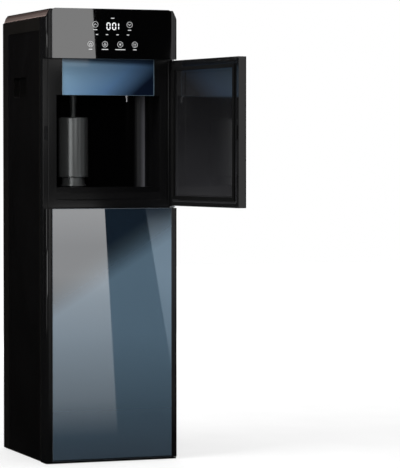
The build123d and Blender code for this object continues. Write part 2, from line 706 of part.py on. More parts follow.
def board_corners():
    corners = []
    for x in (-BOARD_HALF + 2 * STANDOFF_RADIUS, BOARD_HALF - 2 * STANDOFF_RADIUS):
        for z in (BOARD_LOW + 2 * STANDOFF_RADIUS, BOARD_TOP - 2 * STANDOFF_RADIUS):
            corners.append((x, z))
    return corners


def control_head():
    front = front_rounded(HALF, STRIP_FRONT, HEAD_INSIDE_Y, HEAD_Z, CROWN_Z, CORNER_RADIUS)
    head = front & prism_y(shoulder_outline(), STRIP_FRONT, HEAD_INSIDE_Y)
    head -= block(-GLASS_HALF, GLASS_HALF, STRIP_FRONT, GLASS_BACK, HEAD_Z, CROWN_Z)
    head -= strip_grooves(HEAD_Z, CROWN_Z)
    wall = [(SIDE_IN, HEAD_Z), (HALF, HEAD_Z), (HALF, SHOULDER_Z - SHOULDER_CHAMFER),
            (HALF - SHOULDER_CHAMFER, SHOULDER_Z), (SIDE_IN, SHOULDER_Z)]
    right = prism_y(wall, HEAD_INSIDE_Y, FRAME_BACK)
    head += right
    head += mirror(right, about=Plane.YZ)
    head += block(-SIDE_IN, SIDE_IN, HEAD_INSIDE_Y, FRAME_BACK, HEAD_Z, HEAD_Z + HEAD_FLOOR)
    head += block(-TRIM_INNER_HALF, TRIM_INNER_HALF, HEAD_INSIDE_Y, FRAME_BACK, CROWN_Z - HEAD_SKIN, CROWN_Z)
    for x, z in board_corners():
        head += rod_y(x, z, HEAD_INSIDE_Y, HEAD_INSIDE_Y + BOARD_STANDOFF, STANDOFF_RADIUS)
    head -= rod_z(HINGE_X, HINGE_Y, HEAD_Z, HEAD_Z + HEAD_FLOOR, HINGE_PIN / 2 + PIN_CLEARANCE)
    return head


def control_glass():
    pane = block(-GLASS_HALF, GLASS_HALF, FRONT, GLASS_BACK, HEAD_Z, GLASS_TOP)
    return fillet(pane.edges().filter_by(Axis.Y).group_by(Axis.Z)[-1], GLASS_CORNER)


def display_board():
    front = HEAD_INSIDE_Y + BOARD_STANDOFF
    return block(-BOARD_HALF, BOARD_HALF, front, front + BOARD_THICK, BOARD_LOW, BOARD_TOP)


def display_module():
    return block(-DIGITS_HALF, DIGITS_HALF, HEAD_INSIDE_Y, HEAD_INSIDE_Y + BOARD_STANDOFF,
                 DIGITS_LOW, DIGITS_TOP)


# Doors, drawn closed
def door_shell(z0, z1):
    """A moulded door pan with the pocket for its glass and bores for its hinge pins."""
    shell = front_rounded(HALF, STRIP_FRONT, DOOR_BACK, z0, z1, CORNER_RADIUS)
    shell -= block(-GLASS_HALF, GLASS_HALF, STRIP_FRONT, GLASS_BACK, z0, z1)
    shell -= strip_grooves(z0, z1)
    inset = LINER_INSET + DOOR_WALL
    shell -= block(-HALF + inset, HALF - inset, GLASS_BACK + DOOR_WALL, DOOR_BACK - LINER_THICK,
                   z0 + inset, z1 - inset)
    shell -= liner_plate(z0, z1)
    radius = HINGE_PIN / 2 + PIN_CLEARANCE
    shell -= rod_z(HINGE_X, HINGE_Y, z0, z0 + HINGE_PIN_LENGTH + PIN_END_GAP, radius)
    shell -= rod_z(HINGE_X, HINGE_Y, z1 - HINGE_PIN_LENGTH - PIN_END_GAP, z1, radius)
    return shell


def liner_plate(z0, z1):
    """The flat sheet of a door's lining, let into the back of the pan."""
    plate = block(-HALF + LINER_INSET, HALF - LINER_INSET, DOOR_BACK - LINER_THICK, DOOR_BACK,
                  z0 + LINER_INSET, z1 - LINER_INSET)
    return fillet(plate.edges().filter_by(Axis.Y), LINER_CORNER)


def seal_ring(z0, z1):
    top = DOOR_BACK + SEAL_HIGH
    inset = SEAL_INSET
    outer = block(-HALF + inset, HALF - inset, DOOR_BACK, top, z0 + inset, z1 - inset)
    inset += SEAL_WIDE
    return outer - block(-HALF + inset, HALF - inset, DOOR_BACK, top, z0 + inset, z1 - inset)


def door_liner(z0, z1):
    """The lining sheet with its raised strip beside the hinge and a raised rim round the field."""
    liner = liner_plate(z0, z1)
    right = HALF - RIB_FROM_HINGE
    left = right - RIB_WIDE
    top = z1 - SEAL_INSET - SEAL_WIDE - FIELD_EDGE
    low = z0 + SEAL_INSET + SEAL_WIDE + FIELD_EDGE
    liner += block(left, right, DOOR_BACK, DOOR_BACK + RIB_HIGH, low, top)
    far = -HALF + SEAL_INSET + SEAL_WIDE + FIELD_EDGE
    rim = block(far, left, DOOR_BACK, DOOR_BACK + RIB_HIGH, low, top)
    rim -= block(far + FIELD_EDGE, left, DOOR_BACK, DOOR_BACK + RIB_HIGH, low + FIELD_EDGE, top - FIELD_EDGE)
    return liner + rim


def door_glass(z0, z1):
    return block(-GLASS_HALF, GLASS_HALF, FRONT, GLASS_BACK, z0, z1)


MAGNET_LEFT = -HALF + (SEAL_INSET - MAGNET_WIDE) / 2


def door_magnet(z0, z1):
    middle = (z0 + z1) / 2
    return block(MAGNET_LEFT, MAGNET_LEFT + MAGNET_WIDE, DOOR_BACK, DOOR_BACK + MAGNET_HIGH,
                 middle - MAGNET_LONG / 2, middle + MAGNET_LONG / 2)


def strike_plates():
    plates = []
    for z0, z1 in ((DOOR_FOOT, LOWER_DOOR_TOP), (UPPER_DOOR_LOW, UPPER_DOOR_TOP)):
        middle = (z0 + z1) / 2
        plates.append(block(MAGNET_LEFT, MAGNET_LEFT + MAGNET_WIDE, FRAME_FACE - STRIKE_THICK, FRAME_FACE,
                            middle - MAGNET_LONG / 2, middle + MAGNET_LONG / 2))
    return Compound(plates)


def opened(piece):
    """Swings a piece of the upper door about the hinge to the way it stands."""
    hinge = Axis((HINGE_X, HINGE_Y, 0), (0, 0, 1))
    return piece.rotate(hinge, UPPER_DOOR_OPEN)


# Hinges
def hinge_pins():
    top = rod_z(HINGE_X, HINGE_Y, UPPER_DOOR_TOP - HINGE_PIN_LENGTH, HEAD_Z + HEAD_FLOOR, HINGE_PIN / 2)
    bottom = rod_z(HINGE_X, HINGE_Y, APRON_FOOT, DOOR_FOOT + HINGE_PIN_LENGTH, HINGE_PIN / 2)
    return Compound([top, bottom])


def mid_hinge_bracket():
    """The hinge plate between the doors, with a pin up into one and a pin down into the other."""
    low = SPLIT_Z - BRACKET_THICK / 2
    high = SPLIT_Z + BRACKET_THICK / 2
    plate = block(HALF - BRACKET_WIDE, HALF, HINGE_Y - BRACKET_OVERHANG, FRAME_FACE, low, high)
    plate = fillet(plate.edges().filter_by(Axis.Z).group_by(Axis.Y)[0], BRACKET_OVERHANG / 2)
    return plate + rod_z(HINGE_X, HINGE_Y, LOWER_DOOR_TOP - HINGE_PIN_LENGTH,
                         UPPER_DOOR_LOW + HINGE_PIN_LENGTH, HINGE_PIN / 2)


# Tanks
HOT_DRAIN, COLD_DRAIN = drain_places()
HOT_OUTLET = (-OUTLET_X, HOT_Y - HOT_RADIUS / 2)
HOT_INLET = (HOT_X + HOT_RADIUS / 3, HOT_Y + HOT_RADIUS / 3)
COLD_OUTLET = (OUTLET_X, COLD_Y - (COLD_BACK - COLD_FRONT) / 5)
COLD_INLET = (COLD_X - (COLD_RIGHT - COLD_LEFT) / 5, COLD_Y + (COLD_BACK - COLD_FRONT) / 3)


def with_stubs(tank, top, places):
    """Adds the upright tube stubs to a tank's lid."""
    for x, y in places:
        tank += rod_z(x, y, top, top + STUB_LONG, STUB_RADIUS)
        tank -= rod_z(x, y, top - STUB_LONG, top + STUB_LONG, TUBE_BORE)
    return tank


def hot_tank():
    tank = rod_z(HOT_X, HOT_Y, HOT_FLOOR, HOT_TOP, HOT_RADIUS)
    tank -= rod_z(HOT_X, HOT_Y, HOT_FLOOR + HOT_WALL, HOT_TOP - HOT_WALL, HOT_RADIUS - HOT_WALL)
    return with_stubs(tank, HOT_TOP, (HOT_OUTLET, HOT_INLET))


def hot_tank_jacket():
    inside = HOT_RADIUS + JACKET_GAP
    jacket = rod_z(HOT_X, HOT_Y, SHELF_TOP, HOT_TOP, HOT_OUTSIDE)
    jacket -= rod_z(HOT_X, HOT_Y, HOT_FLOOR, HOT_TOP, inside)
    x, z, _ = HOT_DRAIN
    return jacket - rod_y(x, z, HOT_Y, HOT_Y + HOT_OUTSIDE, DRAIN_RADIUS + PIN_CLEARANCE)


def cold_tank():
    tank = block(COLD_LEFT, COLD_RIGHT, COLD_FRONT, COLD_BACK, COLD_FLOOR, COLD_TOP)
    tank -= block(COLD_LEFT + COLD_WALL, COLD_RIGHT - COLD_WALL,
                  COLD_FRONT + COLD_WALL, COLD_BACK - COLD_WALL,
                  COLD_FLOOR + COLD_WALL, COLD_TOP - COLD_WALL)
    return with_stubs(tank, COLD_TOP, (COLD_OUTLET, COLD_INLET))


def cold_tank_jacket():
    jacket = block(COLD_LEFT - FOAM_WALL, COLD_RIGHT + FOAM_WALL,
                   COLD_FRONT - FOAM_WALL, COLD_BACK + FOAM_WALL, SHELF_TOP, COLD_TOP)
    jacket -= block(COLD_LEFT, COLD_RIGHT, COLD_FRONT, COLD_BACK, COLD_FLOOR, COLD_TOP)
    reach = PELTIER_WIDE / 2
    jacket -= block(COLD_X - reach, COLD_X + reach, COLD_BACK, COLD_BACK + FOAM_WALL,
                    PELTIER_Z - reach, PELTIER_Z + reach)
    x, z, front = COLD_DRAIN
    return jacket - rod_y(x, z, front, front + FOAM_WALL, DRAIN_RADIUS + PIN_CLEARANCE)


# Cooler
def peltier_stack():
    reach = PELTIER_WIDE / 2
    middle = COLD_BACK + SPREADER_THICK
    spreader = block(COLD_X - reach, COLD_X + reach, COLD_BACK, middle, PELTIER_Z - reach, PELTIER_Z + reach)
    module = block(COLD_X - reach, COLD_X + reach, middle, SINK_Y, PELTIER_Z - reach, PELTIER_Z + reach)
    return Compound([spreader, module])


def heat_sink():
    reach = SINK_WIDE / 2
    low = PELTIER_Z - reach
    high = PELTIER_Z + reach
    sink = block(COLD_X - reach, COLD_X + reach, SINK_Y, SINK_Y + SINK_BASE, low, high)
    step = (SINK_WIDE - FIN_THICK) / (FIN_COUNT - 1)
    for number in range(FIN_COUNT):
        x = COLD_X - reach + number * step
        sink += block(x, x + FIN_THICK, SINK_Y + SINK_BASE, FAN_Y, low, high)
    return sink


def fan_frame():
    reach = SINK_WIDE / 2
    frame = block(COLD_X - reach, COLD_X + reach, FAN_Y, FAN_Y + FAN_DEEP,
                  PELTIER_Z - reach, PELTIER_Z + reach)
    frame -= rod_y(COLD_X, PELTIER_Z, FAN_Y, FAN_Y + FAN_DEEP, FAN_BORE)
    spider = rod_y(COLD_X, PELTIER_Z, FAN_Y, FAN_Y + FAN_SPIDER, FAN_HUB)
    arm = FAN_HUB / 4
    spider += block(COLD_X - FAN_BORE, COLD_X + FAN_BORE, FAN_Y, FAN_Y + FAN_SPIDER,
                    PELTIER_Z - arm, PELTIER_Z + arm)
    spider += block(COLD_X - arm, COLD_X + arm, FAN_Y, FAN_Y + FAN_SPIDER,
                    PELTIER_Z - FAN_BORE, PELTIER_Z + FAN_BORE)
    frame += spider
    return frame + rod_y(COLD_X, PELTIER_Z, FAN_Y, FAN_Y + FAN_SPIDER + FAN_ROTOR_LONG, FAN_SHAFT / 2)


def fan_rotor():
    start = FAN_Y + FAN_SPIDER + FAN_RUNNING_GAP
    end = start + FAN_ROTOR_LONG
    middle = (start + end) / 2
    rotor = rod_y(COLD_X, PELTIER_Z, start, end, FAN_HUB)
    depth = FAN_ROTOR_LONG - 2 * FAN_BLADE_THICK
    blade_long = FAN_BLADE_TIP - FAN_HUB + FAN_BLADE_THICK
    outer = rod_y(0, 0, -FAN_ROTOR_LONG / 2, FAN_ROTOR_LONG / 2, FAN_BLADE_TIP)
    for number in range(FAN_BLADE_COUNT):
        blade = Pos(0, 0, FAN_BLADE_TIP - blade_long / 2) * Rot(0, 0, FAN_BLADE_TWIST)
        blade = blade * Box(FAN_BLADE_THICK, depth, blade_long)
        blade = Rot(0, number * 360 / FAN_BLADE_COUNT, 0) * (blade & outer)
        rotor += Pos(COLD_X, middle, PELTIER_Z) * blade
    return rotor - rod_y(COLD_X, PELTIER_Z, start, end, FAN_SHAFT / 2 + PIN_CLEARANCE)


# Pump and water tubes
PUMP_TOP = PUMP_Z + PUMP_HEAD_WIDE / 2
PUMP_PORT_Y = PUMP_Y + PUMP_HEAD_LONG / 2
HOT_PORT_X = PUMP_X - PUMP_PORT_SPREAD / 2
COLD_PORT_X = PUMP_X + PUMP_PORT_SPREAD / 2


def water_pump():
    half = PUMP_HEAD_WIDE / 2
    head_back = PUMP_Y + PUMP_HEAD_LONG
    pump = block(PUMP_X - half, PUMP_X + half, PUMP_Y, head_back, PUMP_Z - half, PUMP_TOP)
    pump += rod_y(PUMP_X, PUMP_Z, head_back, head_back + PUMP_MOTOR_LONG, PUMP_MOTOR_RADIUS)
    pump += block(PUMP_X - PUMP_FOOT_WIDE / 2, PUMP_X + PUMP_FOOT_WIDE / 2, PUMP_Y, head_back,
                  SHELF_TOP, PUMP_Z - half)
    return pump


def suction_nipple():
    """The bulkhead nipple through the shelf, where the bottle's hose pushes on."""
    top = SHELF_TOP + NIPPLE_RISE
    low = SHELF_Z - NIPPLE_DROP
    nipple = rod_z(PUMP_X, NIPPLE_Y, low, top, NIPPLE_RADIUS)
    nipple += rod_z(PUMP_X, NIPPLE_Y, SHELF_TOP, SHELF_TOP + NIPPLE_FLANGE_THICK, NIPPLE_FLANGE)
    nipple += rod_z(PUMP_X, NIPPLE_Y, SHELF_Z - NIPPLE_FLANGE_THICK, SHELF_Z, NIPPLE_FLANGE)
    return nipple - rod_z(PUMP_X, NIPPLE_Y, low, top, TUBE_BORE)


def supply_tube():
    start = (PUMP_X, NIPPLE_Y, SHELF_TOP + NIPPLE_RISE)
    return tube_along([start, (PUMP_X, NIPPLE_Y, PUMP_Z), (PUMP_X, PUMP_Y, PUMP_Z)], TUBE_BEND)


def feed_tubes():
    """From the pump's two ports over to the tank lids."""
    hot_z = HOT_TOP + HOT_FEED_RISE
    cold_z = COLD_TOP + COLD_FEED_RISE
    hot = tube_along([(HOT_PORT_X, PUMP_PORT_Y, PUMP_TOP), (HOT_PORT_X, PUMP_PORT_Y, hot_z),
                      (*HOT_INLET, hot_z), (*HOT_INLET, HOT_TOP + STUB_LONG)], TUBE_BEND)
    cold = tube_along([(COLD_PORT_X, PUMP_PORT_Y, PUMP_TOP), (COLD_PORT_X, PUMP_PORT_Y, cold_z),
                       (*COLD_INLET, cold_z), (*COLD_INLET, COLD_TOP + STUB_LONG)], TUBE_BEND)
    return Compound([hot.solid(), cold.solid()])


def outlet_tubes():
    """From the tank lids forward to the valves."""
    end_y = VALVE_BACK + STUB_LONG
    hot = tube_along([(*HOT_OUTLET, HOT_TOP + STUB_LONG), (*HOT_OUTLET, VALVE_PORT_Z),
                      (-OUTLET_X, end_y, VALVE_PORT_Z)], TUBE_BEND)
    cold = tube_along([(*COLD_OUTLET, COLD_TOP + STUB_LONG), (*COLD_OUTLET, VALVE_PORT_Z),
                       (OUTLET_X, end_y, VALVE_PORT_Z)], TUBE_BEND)
    return Compound([hot.solid(), cold.solid()])


# Electrics
def power_board():
    face = BACK_IN - MAIN_BOARD_OFF
    board = block(MAIN_BOARD_LEFT, MAIN_BOARD_RIGHT, face - BOARD_THICK, face, MAIN_BOARD_LOW, MAIN_BOARD_TOP)
    inset = 2 * STANDOFF_RADIUS
    for x in (MAIN_BOARD_LEFT + inset, MAIN_BOARD_RIGHT - inset):
        for z in (MAIN_BOARD_LOW + inset, MAIN_BOARD_TOP - inset):
            board += rod_y(x, z, face, BACK_IN, STANDOFF_RADIUS)
    return board


def transformer():
    face = BACK_IN - MAIN_BOARD_OFF - BOARD_THICK
    middle_x = (MAIN_BOARD_LEFT + MAIN_BOARD_RIGHT) / 2
    middle_z = (MAIN_BOARD_LOW + MAIN_BOARD_TOP) / 2
    return block(middle_x - TRANSFORMER_WIDE / 2, middle_x + TRANSFORMER_WIDE / 2,
                 face - TRANSFORMER_LONG, face,
                 middle_z - TRANSFORMER_HIGH / 2, middle_z + TRANSFORMER_HIGH / 2)


def mains_gland():
    gland = rod_y(GLAND_X, GLAND_Z, BACK_IN - GLAND_IN, BACK + GLAND_OUT, GLAND_RADIUS)
    gland += rod_y(GLAND_X, GLAND_Z, BACK, BACK + GLAND_COLLAR_THICK, GLAND_COLLAR)
    return gland - rod_y(GLAND_X, GLAND_Z, BACK_IN - GLAND_IN, BACK + GLAND_OUT, GLAND_BORE)


def switch_housings():
    housings = []
    for x in SWITCH_XS:
        half = SWITCH_WIDE / 2
        tall = SWITCH_TALL / 2
        outer = BACK + SWITCH_FLANGE_THICK
        housing = block(x - half, x + half, outer - SWITCH_DEEP, outer, SWITCH_Z - tall, SWITCH_Z + tall)
        housing += block(x - half - SWITCH_FLANGE, x + half + SWITCH_FLANGE, BACK, outer,
                         SWITCH_Z - tall - SWITCH_FLANGE, SWITCH_Z + tall + SWITCH_FLANGE)
        housing -= block(x - half + SWITCH_WALL, x + half - SWITCH_WALL,
                         outer - SWITCH_DEEP + SWITCH_WALL, outer,
                         SWITCH_Z - tall + SWITCH_WALL, SWITCH_Z + tall - SWITCH_WALL)
        housing -= rod_x(BACK, SWITCH_Z, x - half, x + half, ROCKER_PIVOT / 2 + PIN_CLEARANCE)
        housings.append(housing.solid())
    return Compound(housings)


def switch_rocker(x):
    """A rocker on its pivot, tipped to its first position."""
    half = SWITCH_WIDE / 2 - SWITCH_WALL - ROCKER_GAP
    tall = SWITCH_TALL / 2 - SWITCH_WALL - 2 * ROCKER_GAP
    rocker = block(x - half, x + half, BACK - ROCKER_THICK / 2, BACK + ROCKER_THICK / 2,
                   SWITCH_Z - tall, SWITCH_Z + tall)
    rocker = fillet(rocker.edges().filter_by(Axis.X), ROCKER_THICK / 4)
    pivot = SWITCH_WIDE / 2 - ROCKER_GAP
    rocker += rod_x(BACK, SWITCH_Z, x - pivot, x + pivot, ROCKER_PIVOT / 2)
    return rocker.rotate(Axis((x, BACK, SWITCH_Z), (1, 0, 0)), -ROCKER_TILT)


# Drains
def drain_pipes():
    pipes = []
    for x, z, front in drain_places():
        pipe = rod_y(x, z, front, BACK + DRAIN_OUT, DRAIN_RADIUS)
        pipes.append((pipe - rod_y(x, z, front, BACK + DRAIN_OUT, DRAIN_BORE)).solid())
    return Compound(pipes)


def drain_plug(place):
    """A soft push-in plug with a pull tab."""
    x, z, _ = place
    seat = BACK + DRAIN_OUT
    plug = rod_y(x, z, seat - PLUG_STEM, seat, DRAIN_BORE - PLUG_GAP)
    plug += rod_y(x, z, seat, seat + PLUG_HEAD_THICK, PLUG_HEAD_RADIUS)
    tab = block(x - PLUG_HEAD_THICK / 4, x + PLUG_HEAD_THICK / 4, seat, seat + PLUG_HEAD_THICK + PLUG_TAB,
                z - PLUG_HEAD_RADIUS / 2, z + PLUG_HEAD_RADIUS / 2)
    return plug + tab


# All pieces by name
LOWER = (DOOR_FOOT, LOWER_DOOR_TOP)
UPPER = (UPPER_DOOR_LOW, UPPER_DOOR_TOP)

pieces = {
    "base_pan": base_pan(),
    "anti_slip_pads": anti_slip_pads(),
    "left_side_panel": side_panel(-1),
    "right_side_panel": side_panel(1),
    "back_panel": back_panel(),
    "back_rails": back_rails(),
    "back_screws": back_screws(),
    "top_trim": top_trim(),
    "top_panel": top_panel(),
    "bay_frame": bay_frame(),
    "niche_frame": niche_frame(),
    "hood_panel": hood_panel(),
    "mid_shelf": mid_shelf(),
    "niche_liner": niche_liner(),
    "niche_deck": niche_deck(),
    "canister_base": canister_base(),
    "canister_body": canister_body(),
    "feed_pipe": feed_pipe(),
    "spout": spout(),
    "outlet_valves": Compound([valve(-OUTLET_X, PIPE_RADIUS).solid(), valve(OUTLET_X, SPOUT_RADIUS).solid()]),
    "control_head": control_head(),
    "control_glass": control_glass(),
    "display_board": display_board(),
    "display_module": display_module(),
    "hinge_pins": hinge_pins(),
    "mid_hinge_bracket": mid_hinge_bracket(),
    "strike_plates": strike_plates(),
    "hot_tank": hot_tank(),
    "hot_tank_jacket": hot_tank_jacket(),
    "cold_tank": cold_tank(),
    "cold_tank_jacket": cold_tank_jacket(),
    "peltier_stack": peltier_stack(),
    "heat_sink": heat_sink(),
    "fan_frame": fan_frame(),
    "fan_rotor": fan_rotor(),
    "water_pump": water_pump(),
    "suction_nipple": suction_nipple(),
    "supply_tube": supply_tube(),
    "feed_tubes": feed_tubes(),
    "outlet_tubes": outlet_tubes(),
    "power_board": Compound([power_board().solid(), transformer()]),
    "mains_gland": mains_gland(),
    "switch_housings": switch_housings(),
    "heat_rocker": switch_rocker(SWITCH_XS[0]),
    "cool_rocker": switch_rocker(SWITCH_XS[1]),
    "drain_pipes": drain_pipes(),
    "hot_drain_plug": drain_plug(HOT_DRAIN),
    "cold_drain_plug": drain_plug(COLD_DRAIN),
    "drip_tray": drip_tray(),
    "drip_grille": drip_grille(),
    "lower_door_shell": door_shell(*LOWER),
    "lower_door_glass": door_glass(*LOWER),
    "lower_door_liner": door_liner(*LOWER),
    "lower_door_seal": seal_ring(*LOWER),
    "lower_door_magnet": door_magnet(*LOWER),
    "upper_door_shell": opened(door_shell(*UPPER)),
    "upper_door_glass": opened(door_glass(*UPPER)),
    "upper_door_liner": opened(door_liner(*UPPER)),
    "upper_door_seal": opened(seal_ring(*UPPER)),
    "upper_door_magnet": opened(door_magnet(*UPPER)),
}

os.makedirs("parts", exist_ok=True)
for name, piece in pieces.items():
    export_step(piece, f"parts/{name}.step")
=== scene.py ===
import math

import bmesh
import bpy
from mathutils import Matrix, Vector


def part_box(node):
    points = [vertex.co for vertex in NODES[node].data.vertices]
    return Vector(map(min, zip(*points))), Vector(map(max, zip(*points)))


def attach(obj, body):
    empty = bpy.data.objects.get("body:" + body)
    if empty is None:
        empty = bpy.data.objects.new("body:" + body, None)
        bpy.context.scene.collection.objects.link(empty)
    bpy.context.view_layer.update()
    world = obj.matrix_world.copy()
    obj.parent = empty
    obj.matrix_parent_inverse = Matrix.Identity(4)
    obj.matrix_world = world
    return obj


bl_info = {
    "name": "Water Dispenser Dressing",
    "version": (1, 0, 0),
    "blender": (4, 5, 0),
    "location": "View3D > Sidebar > Dispenser",
    "description": "Finishes, control marks and a small studio for the water dispenser",
    "category": "Object",
}

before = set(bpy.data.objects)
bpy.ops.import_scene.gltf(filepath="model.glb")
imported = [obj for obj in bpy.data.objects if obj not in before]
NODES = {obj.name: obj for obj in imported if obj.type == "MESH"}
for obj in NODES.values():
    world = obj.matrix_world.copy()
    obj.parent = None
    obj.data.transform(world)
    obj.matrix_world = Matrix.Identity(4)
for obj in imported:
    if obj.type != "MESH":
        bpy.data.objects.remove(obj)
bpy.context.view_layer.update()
MM = 0.001
WHITE = (1.0, 1.0, 1.0)

# The control glass carries all the marks, and they are placed from its box
GLASS_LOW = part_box("control_glass")[0]
GLASS_FACE = GLASS_LOW[1]
GLASS_FOOT = GLASS_LOW[2]

# The camera of the photograph, worked out from the cabinet's corners, with angles in degrees
CAMERA_PLACE = (-1.7889, -5.4965, 0.6937)
CAMERA_YAW = 20.578
CAMERA_DIP = 1.84
CAMERA_LENS = 192.27
CAMERA_REACH = 60.0

# Plain colours, in linear values
BACK_GREY = (0.016, 0.016, 0.017)
RUBBER_BLACK = (0.004, 0.004, 0.004)
MACHINE_BLACK = (0.010, 0.010, 0.011)
TUBE_WHITE = (0.62, 0.66, 0.68)
PLASTIC_WHITE = (0.60, 0.60, 0.58)
ROCKER_RED = (0.33, 0.012, 0.010)
ROCKER_GREEN = (0.012, 0.17, 0.035)
PLATED_STEEL = (0.60, 0.60, 0.62)
BLACKENED_STEEL = (0.035, 0.035, 0.037)
SPOUT_STEEL = (0.30, 0.30, 0.31)
BARE_ALUMINIUM = (0.68, 0.69, 0.71)
DUST_GREY = (0.35, 0.34, 0.32, 1.0)
FOAM_TONES = ((0.012, 0.012, 0.013), (0.035, 0.035, 0.037))
GLOW_TONES = ((0.86, 0.88, 0.90), WHITE)
MARK_TONES = ((0.16, 0.16, 0.17), (0.20, 0.20, 0.20))
FLOOR_TONES = ((0.26, 0.26, 0.26), (0.30, 0.30, 0.30))

# How far a colour or a roughness drifts over a piece, as shares of it
MOULDED_DRIFT = (0.75, 1.3)
METAL_DRIFT = (0.93, 1.05)
ROUGH_DRIFT = (0.9, 1.1)
EDGE_DRIFT = (0.8, 1.2)
GLASS_SMEAR = 1.5

# Tints of the side panels' brightest tone by depth, from the hand grip over the field to the border; the
# hand grip's dark warm tint is painted shade in its recess
SIDE_RANGE = 6.0
SIDE_DEPTH = 6.0 * MM
# Painted shade in the hand grip's recess, warm in tint
GRIP_PAINTED_SHADE = (0.035, 0.025, 0.02)
FIELD_TINT = (0.105, 0.095, 0.105)
BORDER_TINT = (0.33, 0.305, 0.28)
SIDE_STOPS = ((0.0, GRIP_PAINTED_SHADE), (0.62, GRIP_PAINTED_SHADE), (0.72, FIELD_TINT), (0.94, FIELD_TINT),
              (1.0, BORDER_TINT))

# The niche lining has a painted highlight in its two upright corners and painted light on its side walls:
# shares of the corners' tone towards the side walls
CORNER_HIGHLIGHT = 130.0
WALL_PAINTED_LIGHT = 4.0
LINING_DEPTH = 45.0 * MM
LINING_HIGHLIGHT_SHARES = ((0.0, 1.0 / CORNER_HIGHLIGHT), (0.42, 1.0 / CORNER_HIGHLIGHT), (0.55, 0.05), (0.73, 0.11),
                 (0.80, 0.5), (0.88, 1.0), (0.905, 1.0), (0.925, WALL_PAINTED_LIGHT / CORNER_HIGHLIGHT))
DECK_LIFT = 1.5

# The door linings have painted light at the foot and painted shade towards the top: shares of the foot's
# tone by height
DOOR_FOOT_LIGHT = 18.0
DOOR_SHADE_SHARES = ((0.0, 1.0), (0.55, 0.4), (1.0, 0.1))

# Shares of the lower glass's middle tone, by height from its foot, and the black line along the foot
GLASS_LINE = 2.2 * MM
LINE_FADE = 1.3
GLASS_SHARES = ((0.16, 0.52), (0.30, 0.72), (0.5, 1.0), (0.74, 1.07))

# The painted shade over the lower glass's top: its slant, its two edges by height, and the shares between
# them
SHADE_SLANT = 0.62
SHADE_EDGES = (0.72, 0.872)
SHADE_SHARES = ((0.0, 1.0), (0.25, 0.66), (0.5, 0.37), (0.75, 0.19))

# How the hood panel's painted reflection makes its blue fall off to the right, and the painted shade of the
# head along its top
HOOD_SLANT = 0.87
HOOD_INSETS = (0.045, 0.03)
HOOD_MIDDLE_PLACE = 0.34
HOOD_SHADE_SLANT = 0.04
HOOD_SHADE_DEEP = 9.0 * MM
HOOD_SHADE_TINT = (0.22, 0.22, 0.24)

# The top trim by height: shares of the pale bronze, with a painted highlight along its foot, then the red
# slope and the crest
BRONZE_LIT_SHARES = ((0.0, 2.3), (0.08, 1.6), (0.20, 1.0), (0.50, 0.85))
RED_PLACES = (0.58, 0.80)
CREST_PLACE = 0.88
STREAK_SHARE = 0.8

# Shares of the steel's tone
CANISTER_SHARE = 0.85
PIPE_SHARE = 0.45

# How the softened edges are made
WELD_REACH = 0.001 * MM
SOFT_STEPS = 2
SOFT_ANGLE = 40.0

# Where the marks are, in millimetres from the middle and the foot of the control glass
DIGIT_ROW = 72.5
DIGIT_PLACES = (-8.9, 4.4, 11.4)
DIGIT_SEGMENTS = ("abcdef", "abcdef", "bc")
SEGMENT_GAP = 0.35 * MM
CHEVRON_KEYS = ((-40.0, 76.2, 1), (41.0, 76.5, -1))
LOWER_KEYS = (-51.4, -17.3, 18.7, 53.3)
LOWER_KEY_ROW = 32.1
LABEL_HEIGHT = 1.7
LABEL_BARS = ((1.0, 90.5, 8.0), (-40.0, 64.4, 9.5), (41.0, 64.4, 8.0), (-36.0, 53.7, 5.5),
              (-12.5, 53.7, 5.5), (12.3, 53.7, 6.0), (37.2, 53.7, 6.0), (-51.4, 20.6, 8.5),
              (-17.3, 20.6, 15.5), (18.7, 20.6, 24.0), (53.3, 20.6, 8.5))

# Shares of a ring's radius, a line's width and a bar's height
CHEVRON_SHARE = 0.45
ICON_SHARE = 0.2
CHEVRON_STROKE = 1.3
LABEL_CUT = 0.3
RING_STEPS = 48

# Fades of the cards: heights in metres, each with a share of the card's light
LOW_FADE = ((0.004, 0.0), (0.10, 0.26), (0.22, 0.39), (0.34, 0.60), (0.40, 0.82), (0.47, 0.82), (0.55, 1.0))
RIGHT_FADE = ((0.02, 0.0), (0.30, 0.6), (0.40, 0.85), (0.47, 0.8), (0.50, 0.7), (0.527, 0.45), (0.545, 0.2),
              (0.56, 0.1))
STILE_FADE = ((0.58, 0.12), (0.69, 0.3), (0.76, 0.8), (0.82, 1.0), (0.875, 0.9), (0.92, 0.32))
RIGHT_TINT = (0.70, 0.85, 1.0)

